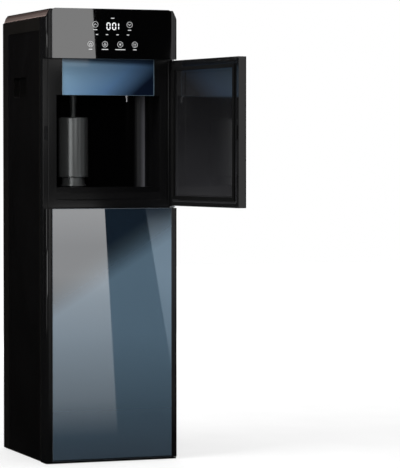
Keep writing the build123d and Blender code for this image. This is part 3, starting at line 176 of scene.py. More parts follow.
# Cards on one plane in front, given where they show on the front glass: left side and right side (each as
# its places at the low and the high end), heights, share of the card level, fade and tint
CARD_PLANE = -0.62
PANE_LEFT = (-0.1412, -0.1412)
LEFT_STRIP = ((-0.1487, -0.1487), (-0.1440, -0.1440))
RIGHT_STRIP = ((0.1415, 0.1415), (0.2000, 0.2000))
PANE_HEIGHTS = (0.058, 0.576)
NICHE_HEIGHTS = (0.578, 0.890)
HEAD_HEIGHTS = (0.890, 1.190)
GLASS_CARDS = (
    ("low_box", PANE_LEFT, (0.012, -0.019), PANE_HEIGHTS, 1.0, LOW_FADE, WHITE),
    ("high_box", PANE_LEFT, (-0.038, -0.056), HEAD_HEIGHTS, 1.0, None, WHITE),
    ("left_strip_0", *LEFT_STRIP, PANE_HEIGHTS, 0.7, LOW_FADE, WHITE),
    ("left_strip_1", *LEFT_STRIP, HEAD_HEIGHTS, 0.7, LOW_FADE, WHITE),
    ("right_strip_0", *RIGHT_STRIP, PANE_HEIGHTS, 0.8, LOW_FADE, WHITE),
    ("right_strip_1", *RIGHT_STRIP, HEAD_HEIGHTS, 0.8, LOW_FADE, WHITE),
    ("stile_box", (-0.260, -0.260), PANE_LEFT, (0.578, 0.900), 0.85, STILE_FADE, WHITE),
    ("middle_box", PANE_LEFT, (-0.030, -0.045), NICHE_HEIGHTS, 0.085, None, WHITE),
    ("right_box", (0.158, 0.078), (0.400, 0.400), (0.112, 0.572), 0.5, RIGHT_FADE, RIGHT_TINT),
)

# Upright cards all round, one of them just inside the niche: two ends as (x, y), low edge, high edge and
# share of the card level
FAR_LEFT = ((-3.5, 0.5), (-3.4, -1.3))
FRONT_LEFT = ((-4.1, -1.2), (-1.9, -4.1))
NICHE_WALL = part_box("niche_liner")[0][0] + 4 * MM
UPRIGHT_CARDS = (
    ("front_fill", ((-3.0, -4.15), (-0.4, -4.15)), 0.05, 2.0, 0.13),
    ("niche_box", ((NICHE_WALL, -0.140), (NICHE_WALL, -0.055)), 0.62, 0.82, 0.02),
    ("edge_box", ((2.3, -4.1), (3.8, -4.1)), 0.2, 2.0, 0.7),
    ("left_box_0", FAR_LEFT, 0.10, 0.50, 0.7),
    ("left_box_1", FRONT_LEFT, 0.50, 1.02, 1.9),
    ("left_box_2", FAR_LEFT, 1.02, 2.20, 1.6),
    ("back_box", ((0.6, 4.1), (2.6, 4.1)), 0.2, 2.4, 0.7),
    ("side_box", ((4.1, -0.6), (4.1, 1.6)), 0.2, 2.4, 0.7),
)
TOP_BOX = (-1.2, -0.6, 1.2, 1.6, 3.2)
TOP_SHARE = 0.6

# The dark curtains stand round a square and close over it, and a flag lies just over the floor
CURTAIN_REACH = 4.2
CURTAIN_HEIGHT = 4.0
FLAG_HEIGHT = 0.001

# How the floor rises to white: two distances in metres and the light it gives off there
FLOOR_REACH = (1.5, 3.5)
FLOOR_LIFT = (0.54, 0.86)
FLOOR_HALF = 9.0
LAMP_AIM = Vector((0.0, 0.0, 0.6))


# Adjustable sizes and colours
class DispenserMarks(bpy.types.PropertyGroup):
    """Sizes of the lit marks on the control glass."""

    relief: bpy.props.FloatProperty(
        name="Relief", description="How far a mark stands off the glass", default=0.12 * MM, unit="LENGTH")
    stroke: bpy.props.FloatProperty(
        name="Stroke", description="Line width of rings and icons", default=0.75 * MM, unit="LENGTH")
    ring_radius: bpy.props.FloatProperty(
        name="Ring radius", description="Radius of a touch key's ring", default=6.3 * MM, unit="LENGTH")
    digit_height: bpy.props.FloatProperty(
        name="Digit height", description="Height of the temperature digits", default=16.8 * MM,
        unit="LENGTH")
    digit_width: bpy.props.FloatProperty(
        name="Digit width", description="Width of one digit", default=9.6 * MM, unit="LENGTH")
    segment: bpy.props.FloatProperty(
        name="Segment", description="Width of a digit's segment", default=2.3 * MM, unit="LENGTH")
    digit_glow: bpy.props.FloatProperty(
        name="Digit glow", description="Light given off by the digits", default=0.95)
    key_glow: bpy.props.FloatProperty(
        name="Key glow", description="Light given off by rings, icons and bars", default=0.55)


class DispenserFinish(bpy.types.PropertyGroup):
    """Colours of the finishes, in linear values, and the softening of their edges."""

    side_black: bpy.props.FloatVectorProperty(
        name="Side black", description="Satin side panels", subtype="COLOR",
        default=(0.0025, 0.0024, 0.0023))
    gloss_black: bpy.props.FloatVectorProperty(
        name="Gloss black", description="Door pans, frames and head", subtype="COLOR",
        default=(0.0038, 0.0038, 0.0040))
    lining_black: bpy.props.FloatVectorProperty(
        name="Lining black", description="Niche and door linings", subtype="COLOR",
        default=(0.0010, 0.0010, 0.0011))
    glass_black: bpy.props.FloatVectorProperty(
        name="Glass black", description="Paint behind the control glass", subtype="COLOR",
        default=(0.0005, 0.0005, 0.0006))
    glass_top: bpy.props.FloatVectorProperty(
        name="Glass top", description="Lower door glass in its shaded top", subtype="COLOR",
        default=(0.0073, 0.0143, 0.024))
    glass_middle: bpy.props.FloatVectorProperty(
        name="Glass middle", description="Lower door glass at mid height", subtype="COLOR",
        default=(0.096, 0.156, 0.214))
    glass_bottom: bpy.props.FloatVectorProperty(
        name="Glass bottom", description="Lower door glass at its foot", subtype="COLOR",
        default=(0.040, 0.060, 0.082))
    # The hood's three blues paint a reflection across the panel, from its lit side to its shaded corner
    hood_lit_blue: bpy.props.FloatVectorProperty(
        name="Hood light", description="Light side of the hood panel", subtype="COLOR",
        default=(0.195, 0.325, 0.450))
    hood_half_lit_blue: bpy.props.FloatVectorProperty(
        name="Hood middle", description="Middle of the hood panel", subtype="COLOR",
        default=(0.075, 0.150, 0.270))
    hood_shaded_blue: bpy.props.FloatVectorProperty(
        name="Hood dark", description="Dark corner of the hood panel", subtype="COLOR",
        default=(0.003, 0.006, 0.015))
    bronze: bpy.props.FloatVectorProperty(
        name="Bronze", description="Lower slope of the top trim", subtype="COLOR",
        default=(0.124, 0.093, 0.084))
    bronze_red: bpy.props.FloatVectorProperty(
        name="Bronze red", description="Upper slope of the top trim", subtype="COLOR",
        default=(0.060, 0.042, 0.038))
    bronze_crest: bpy.props.FloatVectorProperty(
        name="Bronze crest", description="Crest of the top trim", subtype="COLOR",
        default=(0.024, 0.021, 0.020))
    hood_edge_highlight: bpy.props.FloatVectorProperty(
        name="Hood edge", description="Ground edge of the hood panel", subtype="COLOR",
        default=(0.20, 0.30, 0.38))
    glass_edge_highlight: bpy.props.FloatVectorProperty(
        name="Glass edge", description="Ground edge of the front glass", subtype="COLOR",
        default=(0.06, 0.07, 0.08))
    steel: bpy.props.FloatVectorProperty(
        name="Steel", description="Brushed steel", subtype="COLOR", default=(0.25, 0.26, 0.26))
    edge_round: bpy.props.FloatProperty(
        name="Edge round", description="Softening of the moulded edges", default=0.7 * MM, unit="LENGTH")


class DispenserStudio(bpy.types.PropertyGroup):
    """The light in the studio."""

    fill: bpy.props.FloatProperty(
        name="Fill", description="Even light from all round", default=0.50)
    key_power: bpy.props.FloatProperty(
        name="Key", description="Power of the overhead soft box", default=26.0, unit="POWER")
    side_power: bpy.props.FloatProperty(
        name="Side", description="Power of the soft box on the left", default=45.0, unit="POWER")
    front_power: bpy.props.FloatProperty(
        name="Front", description="Power of the soft box in front", default=50.0, unit="POWER")
    right_power: bpy.props.FloatProperty(
        name="Right", description="Power of the soft box on the right", default=60.0, unit="POWER")
    back_power: bpy.props.FloatProperty(
        name="Back", description="Power of the soft box behind", default=80.0, unit="POWER")
    card_level: bpy.props.FloatProperty(
        name="Card level", description="Brightness of the reflected cards", default=1.35)
    curtain_level: bpy.props.FloatProperty(
        name="Curtain level", description="Brightness of the dark curtain", default=0.003)


def marks():
    return bpy.context.scene.dispenser_marks


def finish():
    return bpy.context.scene.dispenser_finish


def studio():
    return bpy.context.scene.dispenser_studio


def lighter(colour, factor):
    return tuple(min(1.0, part * factor) for part in colour)


def greys(shares):
    """Stops of a colour ramp from places and shares."""
    return [(place, (share,) * 3) for place, share in shares]


def add_object(name, data):
    made = bpy.data.objects.new(name, data)
    bpy.context.scene.collection.objects.link(made)
    return made


# Shader building
class Tree:
    """A node tree and short ways to add and join its nodes."""

    def __init__(self, tree):
        self.tree = tree

    def join(self, output, target):
        self.tree.links.new(output, target)

    def node(self, kind, inputs=None, **settings):
        """A new node. Each input is given a value or another node's output."""
        made = self.tree.nodes.new(kind)
        for key, value in settings.items():
            setattr(made, key, value)
        for socket, value in (inputs or {}).items():
            if isinstance(value, bpy.types.NodeSocket):
                self.join(value, made.inputs[socket])
            else:
                made.inputs[socket].default_value = value
        return made

    def place(self):
        """The surface's own coordinates."""
        return self.node("ShaderNodeTexCoord").outputs["Object"]

    def axis(self, vector, letter):
        return self.node("ShaderNodeSeparateXYZ", {"Vector": vector}).outputs[letter]

    def maths(self, operation, *values):
        made = self.node("ShaderNodeMath", dict(enumerate(values)), operation=operation)
        return made.outputs["Value"]

    def spread(self, value, low=0.0, high=1.0, first=0.0, last=1.0):
        """A value that runs from low to high as another runs from first to last."""
        reach = {"Value": value, "From Min": first, "From Max": last, "To Min": low, "To Max": high}
        return self.node("ShaderNodeMapRange", reach).outputs["Result"]

    def ramp(self, factor, *stops):
        """A colour that runs through stops, each a place from 0 to 1 and a colour."""
        made = self.node("ShaderNodeValToRGB", {"Fac": factor})
        elements = made.color_ramp.elements
        for element, (place, colour) in zip(elements, (stops[0], stops[-1])):
            element.position = place
            element.color = (*colour, 1.0)
        for place, colour in stops[1:-1]:
            elements.new(place).color = (*colour, 1.0)
        return made.outputs["Color"]

    def blend(self, factor, low, high):
        """A colour that runs from low to high as the factor goes from 0 to 1."""
        return self.ramp(factor, (0.0, low), (1.0, high))

    def tint(self, colour, shade):
        """One colour multiplied by another."""
        both = {"Factor": 1.0, "A": colour, "B": shade}
        return self.node("ShaderNodeMix", both, data_type="RGBA", blend_type="MULTIPLY").outputs["Result"]


class Finish(Tree):
    """A material being built round its Principled shader."""

    def __init__(self, name, **values):
        self.material = bpy.data.materials.new(name)
        self.material.use_nodes = True
        super().__init__(self.material.node_tree)
        self.shader = self.tree.nodes["Principled BSDF"]
        for socket, value in values.items():
            self.shader.inputs[socket.replace("_", " ")].default_value = value

    def effect(self, name, **values):
        """The outputs of a shared effect, which is built the first time that it is asked for."""
        group = bpy.data.node_groups.get(name) or GROUP_MAKERS[name](name)
        return self.node("ShaderNodeGroup", values, node_tree=group).outputs

    def paint(self, **outputs):
        """Joins outputs to the shader's sockets."""
        for socket, output in outputs.items():
            self.join(output, self.shader.inputs[socket.replace("_", " ")])

    def bump(self, height, strength, distance):
        relief = self.node("ShaderNodeBump", {"Strength": strength, "Distance": distance, "Height": height})
        self.paint(Normal=relief.outputs["Normal"])

    def from_middle(self, low, high):
        """How far a point is from the middle plane, from 0 at the low distance to 1 at the high one."""
        side = self.maths("ABSOLUTE", self.axis(self.place(), "X"))
        return self.spread(side, first=low, last=high)


class Effect(Tree):
    """A shared shader node group being built, with number sockets only."""

    def __init__(self, name, inputs, outputs):
        super().__init__(bpy.data.node_groups.new(name, "ShaderNodeTree"))
        sockets = self.tree.interface
        for label, default in inputs.items():
            socket = sockets.new_socket(name=label, in_out="INPUT", socket_type="NodeSocketFloat")
            socket.default_value = default
        for label in outputs:
            sockets.new_socket(name=label, in_out="OUTPUT", socket_type="NodeSocketFloat")
        self.given = self.node("NodeGroupInput").outputs

    def give(self, **outputs):
        """Joins the group's outputs and hands the group over."""
        self.node("NodeGroupOutput", outputs)
        return self.tree


def grain_group(name):
    """Fine moulded grain: a height for the bump and a slow shade for the colour."""
    made = Effect(name, {"Scale": 1500.0}, ("Height", "Shade"))
    place = made.place()
    fine = made.node("ShaderNodeTexNoise", {"Vector": place, "Scale": made.given["Scale"], "Detail": 3.0})
    slow = made.node("ShaderNodeTexNoise", {"Vector": place, "Scale": 7.0, "Detail": 4.0})
    return made.give(Height=fine.outputs["Fac"], Shade=slow.outputs["Fac"])


def smudge_group(name):
    """Faint wiping marks: a mask that is high where the surface is less clean."""
    made = Effect(name, {"Scale": 9.0}, ("Mask",))
    cloud = made.node("ShaderNodeTexNoise", {"Vector": made.place(), "Scale": made.given["Scale"],
                                             "Detail": 5.0, "Distortion": 0.8})
    return made.give(Mask=made.spread(cloud.outputs["Fac"], first=0.42, last=0.75))


def brushed_group(name):
    """Brushed lines that run level round a piece: a height and a shade."""
    made = Effect(name, {"Fineness": 1800.0}, ("Height", "Shade"))
    stretch = made.node("ShaderNodeCombineXYZ", {"X": 9.0, "Y": 9.0, "Z": made.given["Fineness"]})
    scaled = made.node("ShaderNodeVectorMath", {0: made.place(), 1: stretch.outputs["Vector"]},
                       operation="MULTIPLY")
    lines = made.node("ShaderNodeTexNoise", {"Vector": scaled.outputs["Vector"], "Scale": 1.0,
                                             "Detail": 4.0})
    return made.give(Height=lines.outputs["Fac"], Shade=lines.outputs["Fac"])


def reach_group(name):
    """How far a point is along a slanted line between two values, from 0 to 1."""
    made = Effect(name, {"Across": 0.0, "Up": 1.0, "From": 0.0, "To": 1.0}, ("Factor",))
    place = made.place()
    across = made.maths("MULTIPLY", made.axis(place, "X"), made.given["Across"])
    along = made.maths("MULTIPLY_ADD", made.axis(place, "Z"), made.given["Up"], across)
    return made.give(Factor=made.spread(along, first=made.given["From"], last=made.given["To"]))


def dust_group(name):
    """Light dust on faces that look up: a mask."""
    made = Effect(name, {"Amount": 0.3}, ("Mask",))
    facing = made.node("ShaderNodeNewGeometry").outputs["Normal"]
    upward = made.spread(made.axis(facing, "Z"), first=0.75)
    speck = made.node("ShaderNodeTexNoise", {"Vector": made.place(), "Scale": 60.0, "Detail": 6.0})
    broken = made.maths("MULTIPLY", upward, speck.outputs["Fac"])
    return made.give(Mask=made.maths("MULTIPLY", broken, made.given["Amount"]))


GROUP_MAKERS = {
    "Moulded grain": grain_group,
    "Handling smudges": smudge_group,
    "Brushed lines": brushed_group,
    "Reach along": reach_group,
    "Settled dust": dust_group,
}


# Materials
def moulded_finish(name, colour, rough, grain, depth, dust=0.02, tone=None, **values):
    """Moulded plastic: grain, a slow drift of shade, wiping marks and a little dust on top."""
    made = Finish(name, **values)
    moulding = made.effect("Moulded grain", Scale=grain)
    smudge = made.effect("Handling smudges", Scale=8.0)
    settled = made.effect("Settled dust", Amount=dust)
    shade = made.blend(moulding["Shade"], *(lighter(colour, share) for share in MOULDED_DRIFT))
    if tone:
        shade = tone(made, shade)
    dusted = made.node("ShaderNodeMix", {"Factor": settled["Mask"], "A": shade, "B": DUST_GREY},
                       data_type="RGBA")
    made.paint(Base_Color=dusted.outputs["Result"], Roughness=made.spread(smudge["Mask"], *rough))
    made.bump(moulding["Height"], strength=0.25, distance=depth)
    return made.material


def side_tone_and_grip_shade(made, shade):
    """Lightens the border of a side panel and darkens its hand grip with a warm painted shade, told apart by
    their depth in the wall.
    """
    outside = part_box("right_side_panel")[1][0]
    depth = made.from_middle(outside - SIDE_DEPTH, outside)
    return made.tint(shade, made.ramp(depth, *SIDE_STOPS))


def side_material():
    return moulded_finish("Satin black panel", lighter(finish().side_black, SIDE_RANGE), rough=(0.42, 0.52),
                          grain=1400.0, depth=0.08 * MM, tone=side_tone_and_grip_shade)


def back_material():
    return moulded_finish("Charcoal back panel", BACK_GREY, rough=(0.40, 0.52), grain=1200.0, depth=0.1 * MM)


def gloss_material():
    return moulded_finish("Gloss black moulding", finish().gloss_black, rough=(0.03, 0.055), grain=900.0,
                          depth=0.001 * MM, IOR=1.45)


def frame_material():
    return moulded_finish("Satin frame moulding", finish().gloss_black, rough=(0.15, 0.20), grain=1000.0,
                          depth=0.01 * MM, IOR=1.4)


def lining_painted_highlight(made, shade):
    """Lightens the side walls of the niche with painted light, and its two upright corners most with a
    painted highlight.
    """
    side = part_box("niche_liner")[1][0]
    depth = made.from_middle(side - LINING_DEPTH, side)
    return made.tint(shade, made.ramp(depth, *greys(LINING_HIGHLIGHT_SHARES)))


def lining_material():
    # The lining's colour is raised to the corners' painted highlight, and the tone brings the back wall down
    # to plain black
    return moulded_finish("Dark lining", lighter(finish().lining_black, CORNER_HIGHLIGHT), rough=(0.11, 0.17),
                          grain=1100.0, depth=0.01 * MM, dust=0.0, tone=lining_painted_highlight, IOR=1.15)


def deck_material():
    return moulded_finish("Dark deck", lighter(finish().lining_black, DECK_LIFT), rough=(0.20, 0.30),
                          grain=1100.0, depth=0.01 * MM, dust=0.004, IOR=1.35)


def door_painted_shade(made, shade):
    """Darkens a door lining towards its top with painted shade."""
    low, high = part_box("upper_door_liner")
    up = made.effect("Reach along", From=low[2], To=high[2])
    return made.tint(shade, made.ramp(up["Factor"], *greys(DOOR_SHADE_SHARES)))


def door_lining_material():
    """The polished inner face of a door, with painted light towards its foot."""
    # The lining's colour is raised to the painted light at the foot, and the tone shades it towards the top
    return moulded_finish("Polished door lining", lighter(finish().lining_black, DOOR_FOOT_LIGHT),
                          rough=(0.07, 0.12), grain=900.0, depth=0.004 * MM, tone=door_painted_shade, IOR=1.9)


def control_glass_material():
    made = Finish("Black control glass", IOR=2.2)
    smudge = made.effect("Handling smudges", Scale=6.0)["Mask"]
    black = finish().glass_black
    made.paint(Base_Color=made.blend(smudge, black, lighter(black, GLASS_SMEAR)),
               Roughness=made.spread(smudge, low=0.015, high=0.05))
    return made.material


def lower_glass_material():
    """Tinted mirror glass with a slanted painted shade over its top and a black line along its foot."""
    made = Finish("Blue mirror glass", IOR=2.7)
    low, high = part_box("lower_door_glass")
    height = high[2] - low[2]
    up = made.effect("Reach along", From=low[2], To=high[2])
    line = GLASS_LINE / height
    black = finish().glass_black
    stops = [(0.0, black), (line, black), (line * LINE_FADE, finish().glass_bottom)]
    stops += [(place, lighter(finish().glass_middle, share)) for place, share in GLASS_SHARES]
    first, last = (low[2] + share * height for share in SHADE_EDGES)
    # Painted shade over the top of the glass, slanted
    slanted = made.effect("Reach along", Across=-SHADE_SLANT, From=first, To=last)
    deepest = tuple(top / middle for top, middle in zip(finish().glass_top, finish().glass_middle))
    shade = made.ramp(slanted["Factor"], *greys(SHADE_SHARES), (1.0, deepest))
    smudge = made.effect("Handling smudges", Scale=5.0)
    made.paint(Base_Color=made.tint(made.ramp(up["Factor"], *stops), shade),
               Roughness=made.spread(smudge["Mask"], low=0.015, high=0.06))
    return made.material


def hood_material():
    """Blue mirror panel with a painted reflection that darkens it towards its lower right corner, and
    painted shade under the head.
    """
    made = Finish("Blue hood panel", IOR=1.35)
    low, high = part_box("hood_panel")
    dark_inset, light_inset = HOOD_INSETS
    across = made.effect("Reach along", Across=-HOOD_SLANT, From=low[2] - HOOD_SLANT * high[0] + dark_inset,
                         To=high[2] - HOOD_SLANT * low[0] - light_inset)
    # Painted reflection across the hood panel, from its dark corner to its lit side
    painted_reflection = made.ramp(across["Factor"], (0.0, finish().hood_shaded_blue), (HOOD_MIDDLE_PLACE, finish().hood_half_lit_blue),
                      (1.0, finish().hood_lit_blue))
    top = high[2] + HOOD_SHADE_SLANT * low[0]
    under = made.effect("Reach along", Across=HOOD_SHADE_SLANT, From=top - HOOD_SHADE_DEEP, To=top)
    smudge = made.effect("Handling smudges", Scale=11.0)
    made.paint(Base_Color=made.tint(painted_reflection, made.blend(under["Factor"], WHITE, HOOD_SHADE_TINT)),
               Roughness=made.spread(smudge["Mask"], low=0.03, high=0.09))
    return made.material


def edge_highlight_material(name, colour):
    """The ground edge of a pane, made paler than its face as a painted highlight."""
    made = Finish(name, IOR=1.5)
    grain = made.effect("Moulded grain", Scale=2500.0)
    made.paint(Base_Color=made.blend(grain["Shade"], *(lighter(colour, share) for share in EDGE_DRIFT)),
               Roughness=made.spread(grain["Height"], low=0.35, high=0.5))
    return made.material


def bronze_material():
    """Painted bronze: a pale lower slope with a painted highlight along its foot, a redder upper one and a
    dark line along the crest.
    """
    made = Finish("Bronze trim", Metallic=0.3)
    low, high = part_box("top_trim")
    up = made.effect("Reach along", From=low[2], To=high[2])
    lines = made.effect("Brushed lines")
    # The first stops paint a highlight along the foot of the lower slope
    stops = [(place, lighter(finish().bronze, share)) for place, share in BRONZE_LIT_SHARES]
    stops += [(place, finish().bronze_red) for place in RED_PLACES]
    stops.append((CREST_PLACE, finish().bronze_crest))
    streaks = made.blend(lines["Shade"], (STREAK_SHARE,) * 3, WHITE)
    made.paint(Base_Color=made.tint(made.ramp(up["Factor"], *stops), streaks),
               Roughness=made.spread(lines["Shade"], low=0.28, high=0.42))
    made.bump(lines["Height"], strength=0.3, distance=0.02 * MM)
    return made.material


def metal_material(name, colour, rough, metallic=1.0):
    """Metal with fine brushed lines."""
    made = Finish(name, Metallic=metallic)
    lines = made.effect("Brushed lines")
    made.paint(Base_Color=made.blend(lines["Shade"], *(lighter(colour, share) for share in METAL_DRIFT)),
               Roughness=made.spread(lines["Shade"], *(rough * share for share in ROUGH_DRIFT)))
    made.bump(lines["Height"], strength=0.15, distance=0.002 * MM)
    return made.material


def rubber_material():
    return moulded_finish("Soft black rubber", RUBBER_BLACK, rough=(0.55, 0.70), grain=700.0, depth=0.1 * MM,
                          IOR=1.2)


def tube_material():
    return moulded_finish("Milky tube", TUBE_WHITE, rough=(0.28, 0.38), grain=500.0, depth=0.02 * MM,
                          Subsurface_Weight=0.3, Subsurface_Radius=(4 * MM, 4 * MM, 4 * MM))


def foam_material():
    """Dark insulating foam with small cells."""
    made = Finish("Insulating foam", Roughness=0.9)
    cells = made.node("ShaderNodeTexVoronoi", {"Vector": made.place(), "Scale": 420.0}).outputs["Distance"]
    made.paint(Base_Color=made.blend(cells, *FOAM_TONES))
    made.bump(cells, strength=0.6, distance=0.6 * MM)
    return made.material


def board_material():
    """Lacquered circuit board with copper runs under the lacquer."""
    made = Finish("Circuit board")
    turn = made.node("ShaderNodeMapping", {"Vector": made.place(), "Rotation": (math.pi / 2, 0.0, 0.0)})
    runs = made.node("ShaderNodeTexBrick", {
        "Vector": turn.outputs["Vector"],
        "Scale": 90.0,
        "Mortar Size": 0.06,
        "Color1": (0.010, 0.075, 0.030, 1.0),
        "Color2": (0.014, 0.095, 0.040, 1.0),
        "Mortar": (0.030, 0.170, 0.060, 1.0),
    }).outputs
    made.paint(Base_Color=runs["Color"], Roughness=made.spread(runs["Fac"], low=0.30, high=0.42))
    made.bump(runs["Fac"], strength=0.3, distance=0.05 * MM)
    return made.material


def light_plastic_material():
    return moulded_finish("White plastic", PLASTIC_WHITE, rough=(0.35, 0.48), grain=900.0, depth=0.04 * MM)


def machine_material():
    return moulded_finish("Machine black", MACHINE_BLACK, rough=(0.35, 0.45), grain=900.0, depth=0.05 * MM)


def rocker_material(name, colour):
    return moulded_finish(name, colour, rough=(0.22, 0.32), grain=900.0, depth=0.02 * MM)


def lit_material(name, glow):
    """Lit marks under the glass, not quite even in their light."""
    made = Finish(name, Roughness=0.4, Emission_Strength=glow)
    shade = made.effect("Moulded grain", Scale=300.0)["Shade"]
    made.paint(Emission_Color=made.blend(shade, *GLOW_TONES), Base_Color=made.blend(shade, *MARK_TONES))
    return made.material


def dress(material, *names):
    """Gives a finish to CAD nodes."""
    for name in names:
        slots = NODES[name].data.materials
        slots.clear()
        slots.append(material)


def soften(width, *names, edge_finish=None):
    """Rounds the sharp edges of CAD nodes a little, so that they catch the light."""
    for name in names:
        weld = NODES[name].modifiers.new("Weld", "WELD")
        weld.merge_threshold = WELD_REACH
        edge = NODES[name].modifiers.new("Soft edges", "BEVEL")
        edge.width = width
        edge.segments = SOFT_STEPS
        edge.limit_method = "ANGLE"
        edge.angle_limit = math.radians(SOFT_ANGLE)
        if edge_finish:
            NODES[name].data.materials.append(edge_finish)
            edge.material = 1


# Flat marks, drawn in the plane of the glass as (x, z) points in metres
def on_glass(x, z):
    """A place on the control glass, in metres, from its millimetres."""
    return x * MM, GLASS_FOOT + z * MM


def around(x, z, radius, angle):
    """A place on a circle."""
    return x + radius * math.cos(angle), z + radius * math.sin(angle)


def spots(x, z, unit, *steps):
    """Places round a middle, from steps of one unit across and up."""
    return [(x + across * unit, z + up * unit) for across, up in steps]


class Sheet:
    """Collects flat strokes and makes one thin raised mesh of them."""

    def __init__(self, name):
        self.name = name
        self.mesh = bmesh.new()

    def face(self, points):
        """One raised face with walls, from points that run round it."""
        relief = marks().relief
        front = [self.mesh.verts.new((x, GLASS_FACE - relief, z)) for x, z in points]
        back = [self.mesh.verts.new((x, GLASS_FACE, z)) for x, z in points]
        self.mesh.faces.new(front)
        self.mesh.faces.new(list(reversed(back)))
        for number in range(len(points)):
            after = (number + 1) % len(points)
            self.mesh.faces.new((front[number], back[number], back[after], front[after]))

    def bar(self, x, z, width, height, bevel):
        """An upright or level bar with cut corners."""
        half_w = width / 2
        half_h = height / 2
        cut_w = half_w - bevel
        cut_h = half_h - bevel
        self.face(spots(x, z, 1.0, (-cut_w, -half_h), (cut_w, -half_h), (half_w, -cut_h), (half_w, cut_h),
                        (cut_w, half_h), (-cut_w, half_h), (-half_w, cut_h), (-half_w, -cut_h)))

    def stroke(self, points, width):
        """A line of even width through points, square at its ends."""
        places = [Vector(point) for point in points]
        for first, last in zip(places, places[1:]):
            along = (last - first).normalized()
            side = Vector((-along.y, along.x)) * width / 2
            reach = along * width / 3
            self.face([first - reach - side, last + reach - side, last + reach + side, first - reach + side])

    def arc(self, x, z, radius, width, start, end, steps):
        """Part of a ring, between two angles in degrees."""
        inner = radius - width / 2
        outer = radius + width / 2
        step = math.radians(end - start) / steps
        for number in range(steps):
            first = math.radians(start) + number * step
            second = first + step
            self.face([around(x, z, inner, first), around(x, z, outer, first), around(x, z, outer, second),
                       around(x, z, inner, second)])

    def finish(self, material, body, slot):
        """Turns the strokes into a piece that rides on a body."""
        bmesh.ops.recalc_face_normals(self.mesh, faces=self.mesh.faces)
        data = bpy.data.meshes.new(self.name)
        self.mesh.to_mesh(data)
        self.mesh.free()
        data.materials.append(material)
        piece = add_object(self.name, data)
        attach(piece, body)
        return piece


def digit(sheet, x, z, segments):
    """One digit of pointed segments, named a to f in the usual order."""
    half = marks().segment / 2
    half_w = marks().digit_width / 2 - half
    half_h = marks().digit_height / 2 - half
    ends = {"a": ((-half_w, half_h), (half_w, half_h)), "b": ((half_w, half_h), (half_w, 0)),
            "c": ((half_w, 0), (half_w, -half_h)), "d": ((-half_w, -half_h), (half_w, -half_h)),
            "e": ((-half_w, 0), (-half_w, -half_h)), "f": ((-half_w, half_h), (-half_w, 0))}
    for letter in segments:
        first, last = (Vector((x + across, z + up)) for across, up in ends[letter])
        along = (last - first).normalized()
        side = Vector((-along.y, along.x)) * half
        tip = along * SEGMENT_GAP
        neck = along * (SEGMENT_GAP + half)
        sheet.face([first + tip, first + neck - side, last - neck - side, last - tip, last - neck + side,
                    first + neck + side])


def padlock_icon(sheet, x, z, unit, width):
    sheet.stroke(spots(x, z, unit, (-2, -2.4), (2, -2.4), (2, 0.4), (-2, 0.4), (-2, -2.4)), width)
    sheet.arc(x, z + 0.5 * unit, 1.4 * unit, width, start=0, end=180, steps=10)


def steam_cup_icon(sheet, x, z, unit, width):
    cup = spots(x, z, unit, (-2.4, -0.2), (-1.7, -2.7), (1.7, -2.7), (2.4, -0.2), (-2.4, -0.2))
    sheet.stroke(cup, width)
    for across in (-1.0, 1.0):
        sheet.stroke(spots(x, z, unit, (across, 0.8), (across + 0.5, 1.7), (across, 2.7)), width)


def frost_icon(sheet, x, z, unit, width):
    for degrees in (30, 90, 150):
        across, up = around(0.0, 0.0, 2.7, math.radians(degrees))
        sheet.stroke(spots(x, z, unit, (-across, -up), (across, up)), width)


def tumbler_icon(sheet, x, z, unit, width):
    sheet.stroke(spots(x, z, unit, (-2.2, 2.6), (-1.5, -2.6), (1.5, -2.6), (2.2, 2.6)), width)
    sheet.stroke(spots(x, z, unit, (-1.9, 0.6), (1.9, 0.6)), width)


KEY_ICONS = (padlock_icon, steam_cup_icon, frost_icon, tumbler_icon)


# Operators
class DISPENSER_OT_cabinet(bpy.types.Operator):
    """Finishes the cabinet: sides, back, base, frames, trim and top"""

    bl_idname = "dispenser.cabinet"
    bl_label = "Cabinet finishes"

    def execute(self, context):
        dress(side_material(), "left_side_panel", "right_side_panel")
        dress(back_material(), "back_panel", "top_panel")
        dress(gloss_material(), "base_pan", "control_head", "lower_door_shell", "upper_door_shell",
              "lower_door_magnet", "upper_door_magnet", "drip_tray", "drip_grille")
        dress(frame_material(), "back_rails", "bay_frame", "niche_frame")
        dress(bronze_material(), "top_trim")
        dress(rubber_material(), "anti_slip_pads", "lower_door_seal", "upper_door_seal", "mains_gland",
              "hot_drain_plug", "cold_drain_plug")
        plated = metal_material("Plated steel", PLATED_STEEL, rough=0.22)
        dress(plated, "hinge_pins", "mid_hinge_bracket", "back_screws")
        dress(metal_material("Blackened steel", BLACKENED_STEEL, rough=0.45), "strike_plates")
        soften(finish().edge_round, "left_side_panel", "right_side_panel", "back_panel", "top_panel",
               "bay_frame", "niche_frame", "niche_deck")
        soften(finish().edge_round * 2, "control_head", "lower_door_shell", "upper_door_shell")
        soften(finish().edge_round / 2, "top_trim", "drip_grille", "mid_hinge_bracket")
        return {"FINISHED"}


class DISPENSER_OT_glass(bpy.types.Operator):
    """Finishes the control glass, the door glass and the hood panel"""

    bl_idname = "dispenser.glass"
    bl_label = "Glass fronts"

    def execute(self, context):
        dress(control_glass_material(), "control_glass", "upper_door_glass")
        dress(lower_glass_material(), "lower_door_glass")
        dress(hood_material(), "hood_panel")
        # The panes' softened edges carry a painted highlight
        front_edge = edge_highlight_material("Ground front edge", finish().glass_edge_highlight)
        soften(finish().edge_round, "control_glass", "upper_door_glass", "lower_door_glass",
               edge_finish=front_edge)
        hood_edge = edge_highlight_material("Ground hood edge", finish().hood_edge_highlight)
        soften(finish().edge_round * 2, "hood_panel", edge_finish=hood_edge)
        return {"FINISHED"}


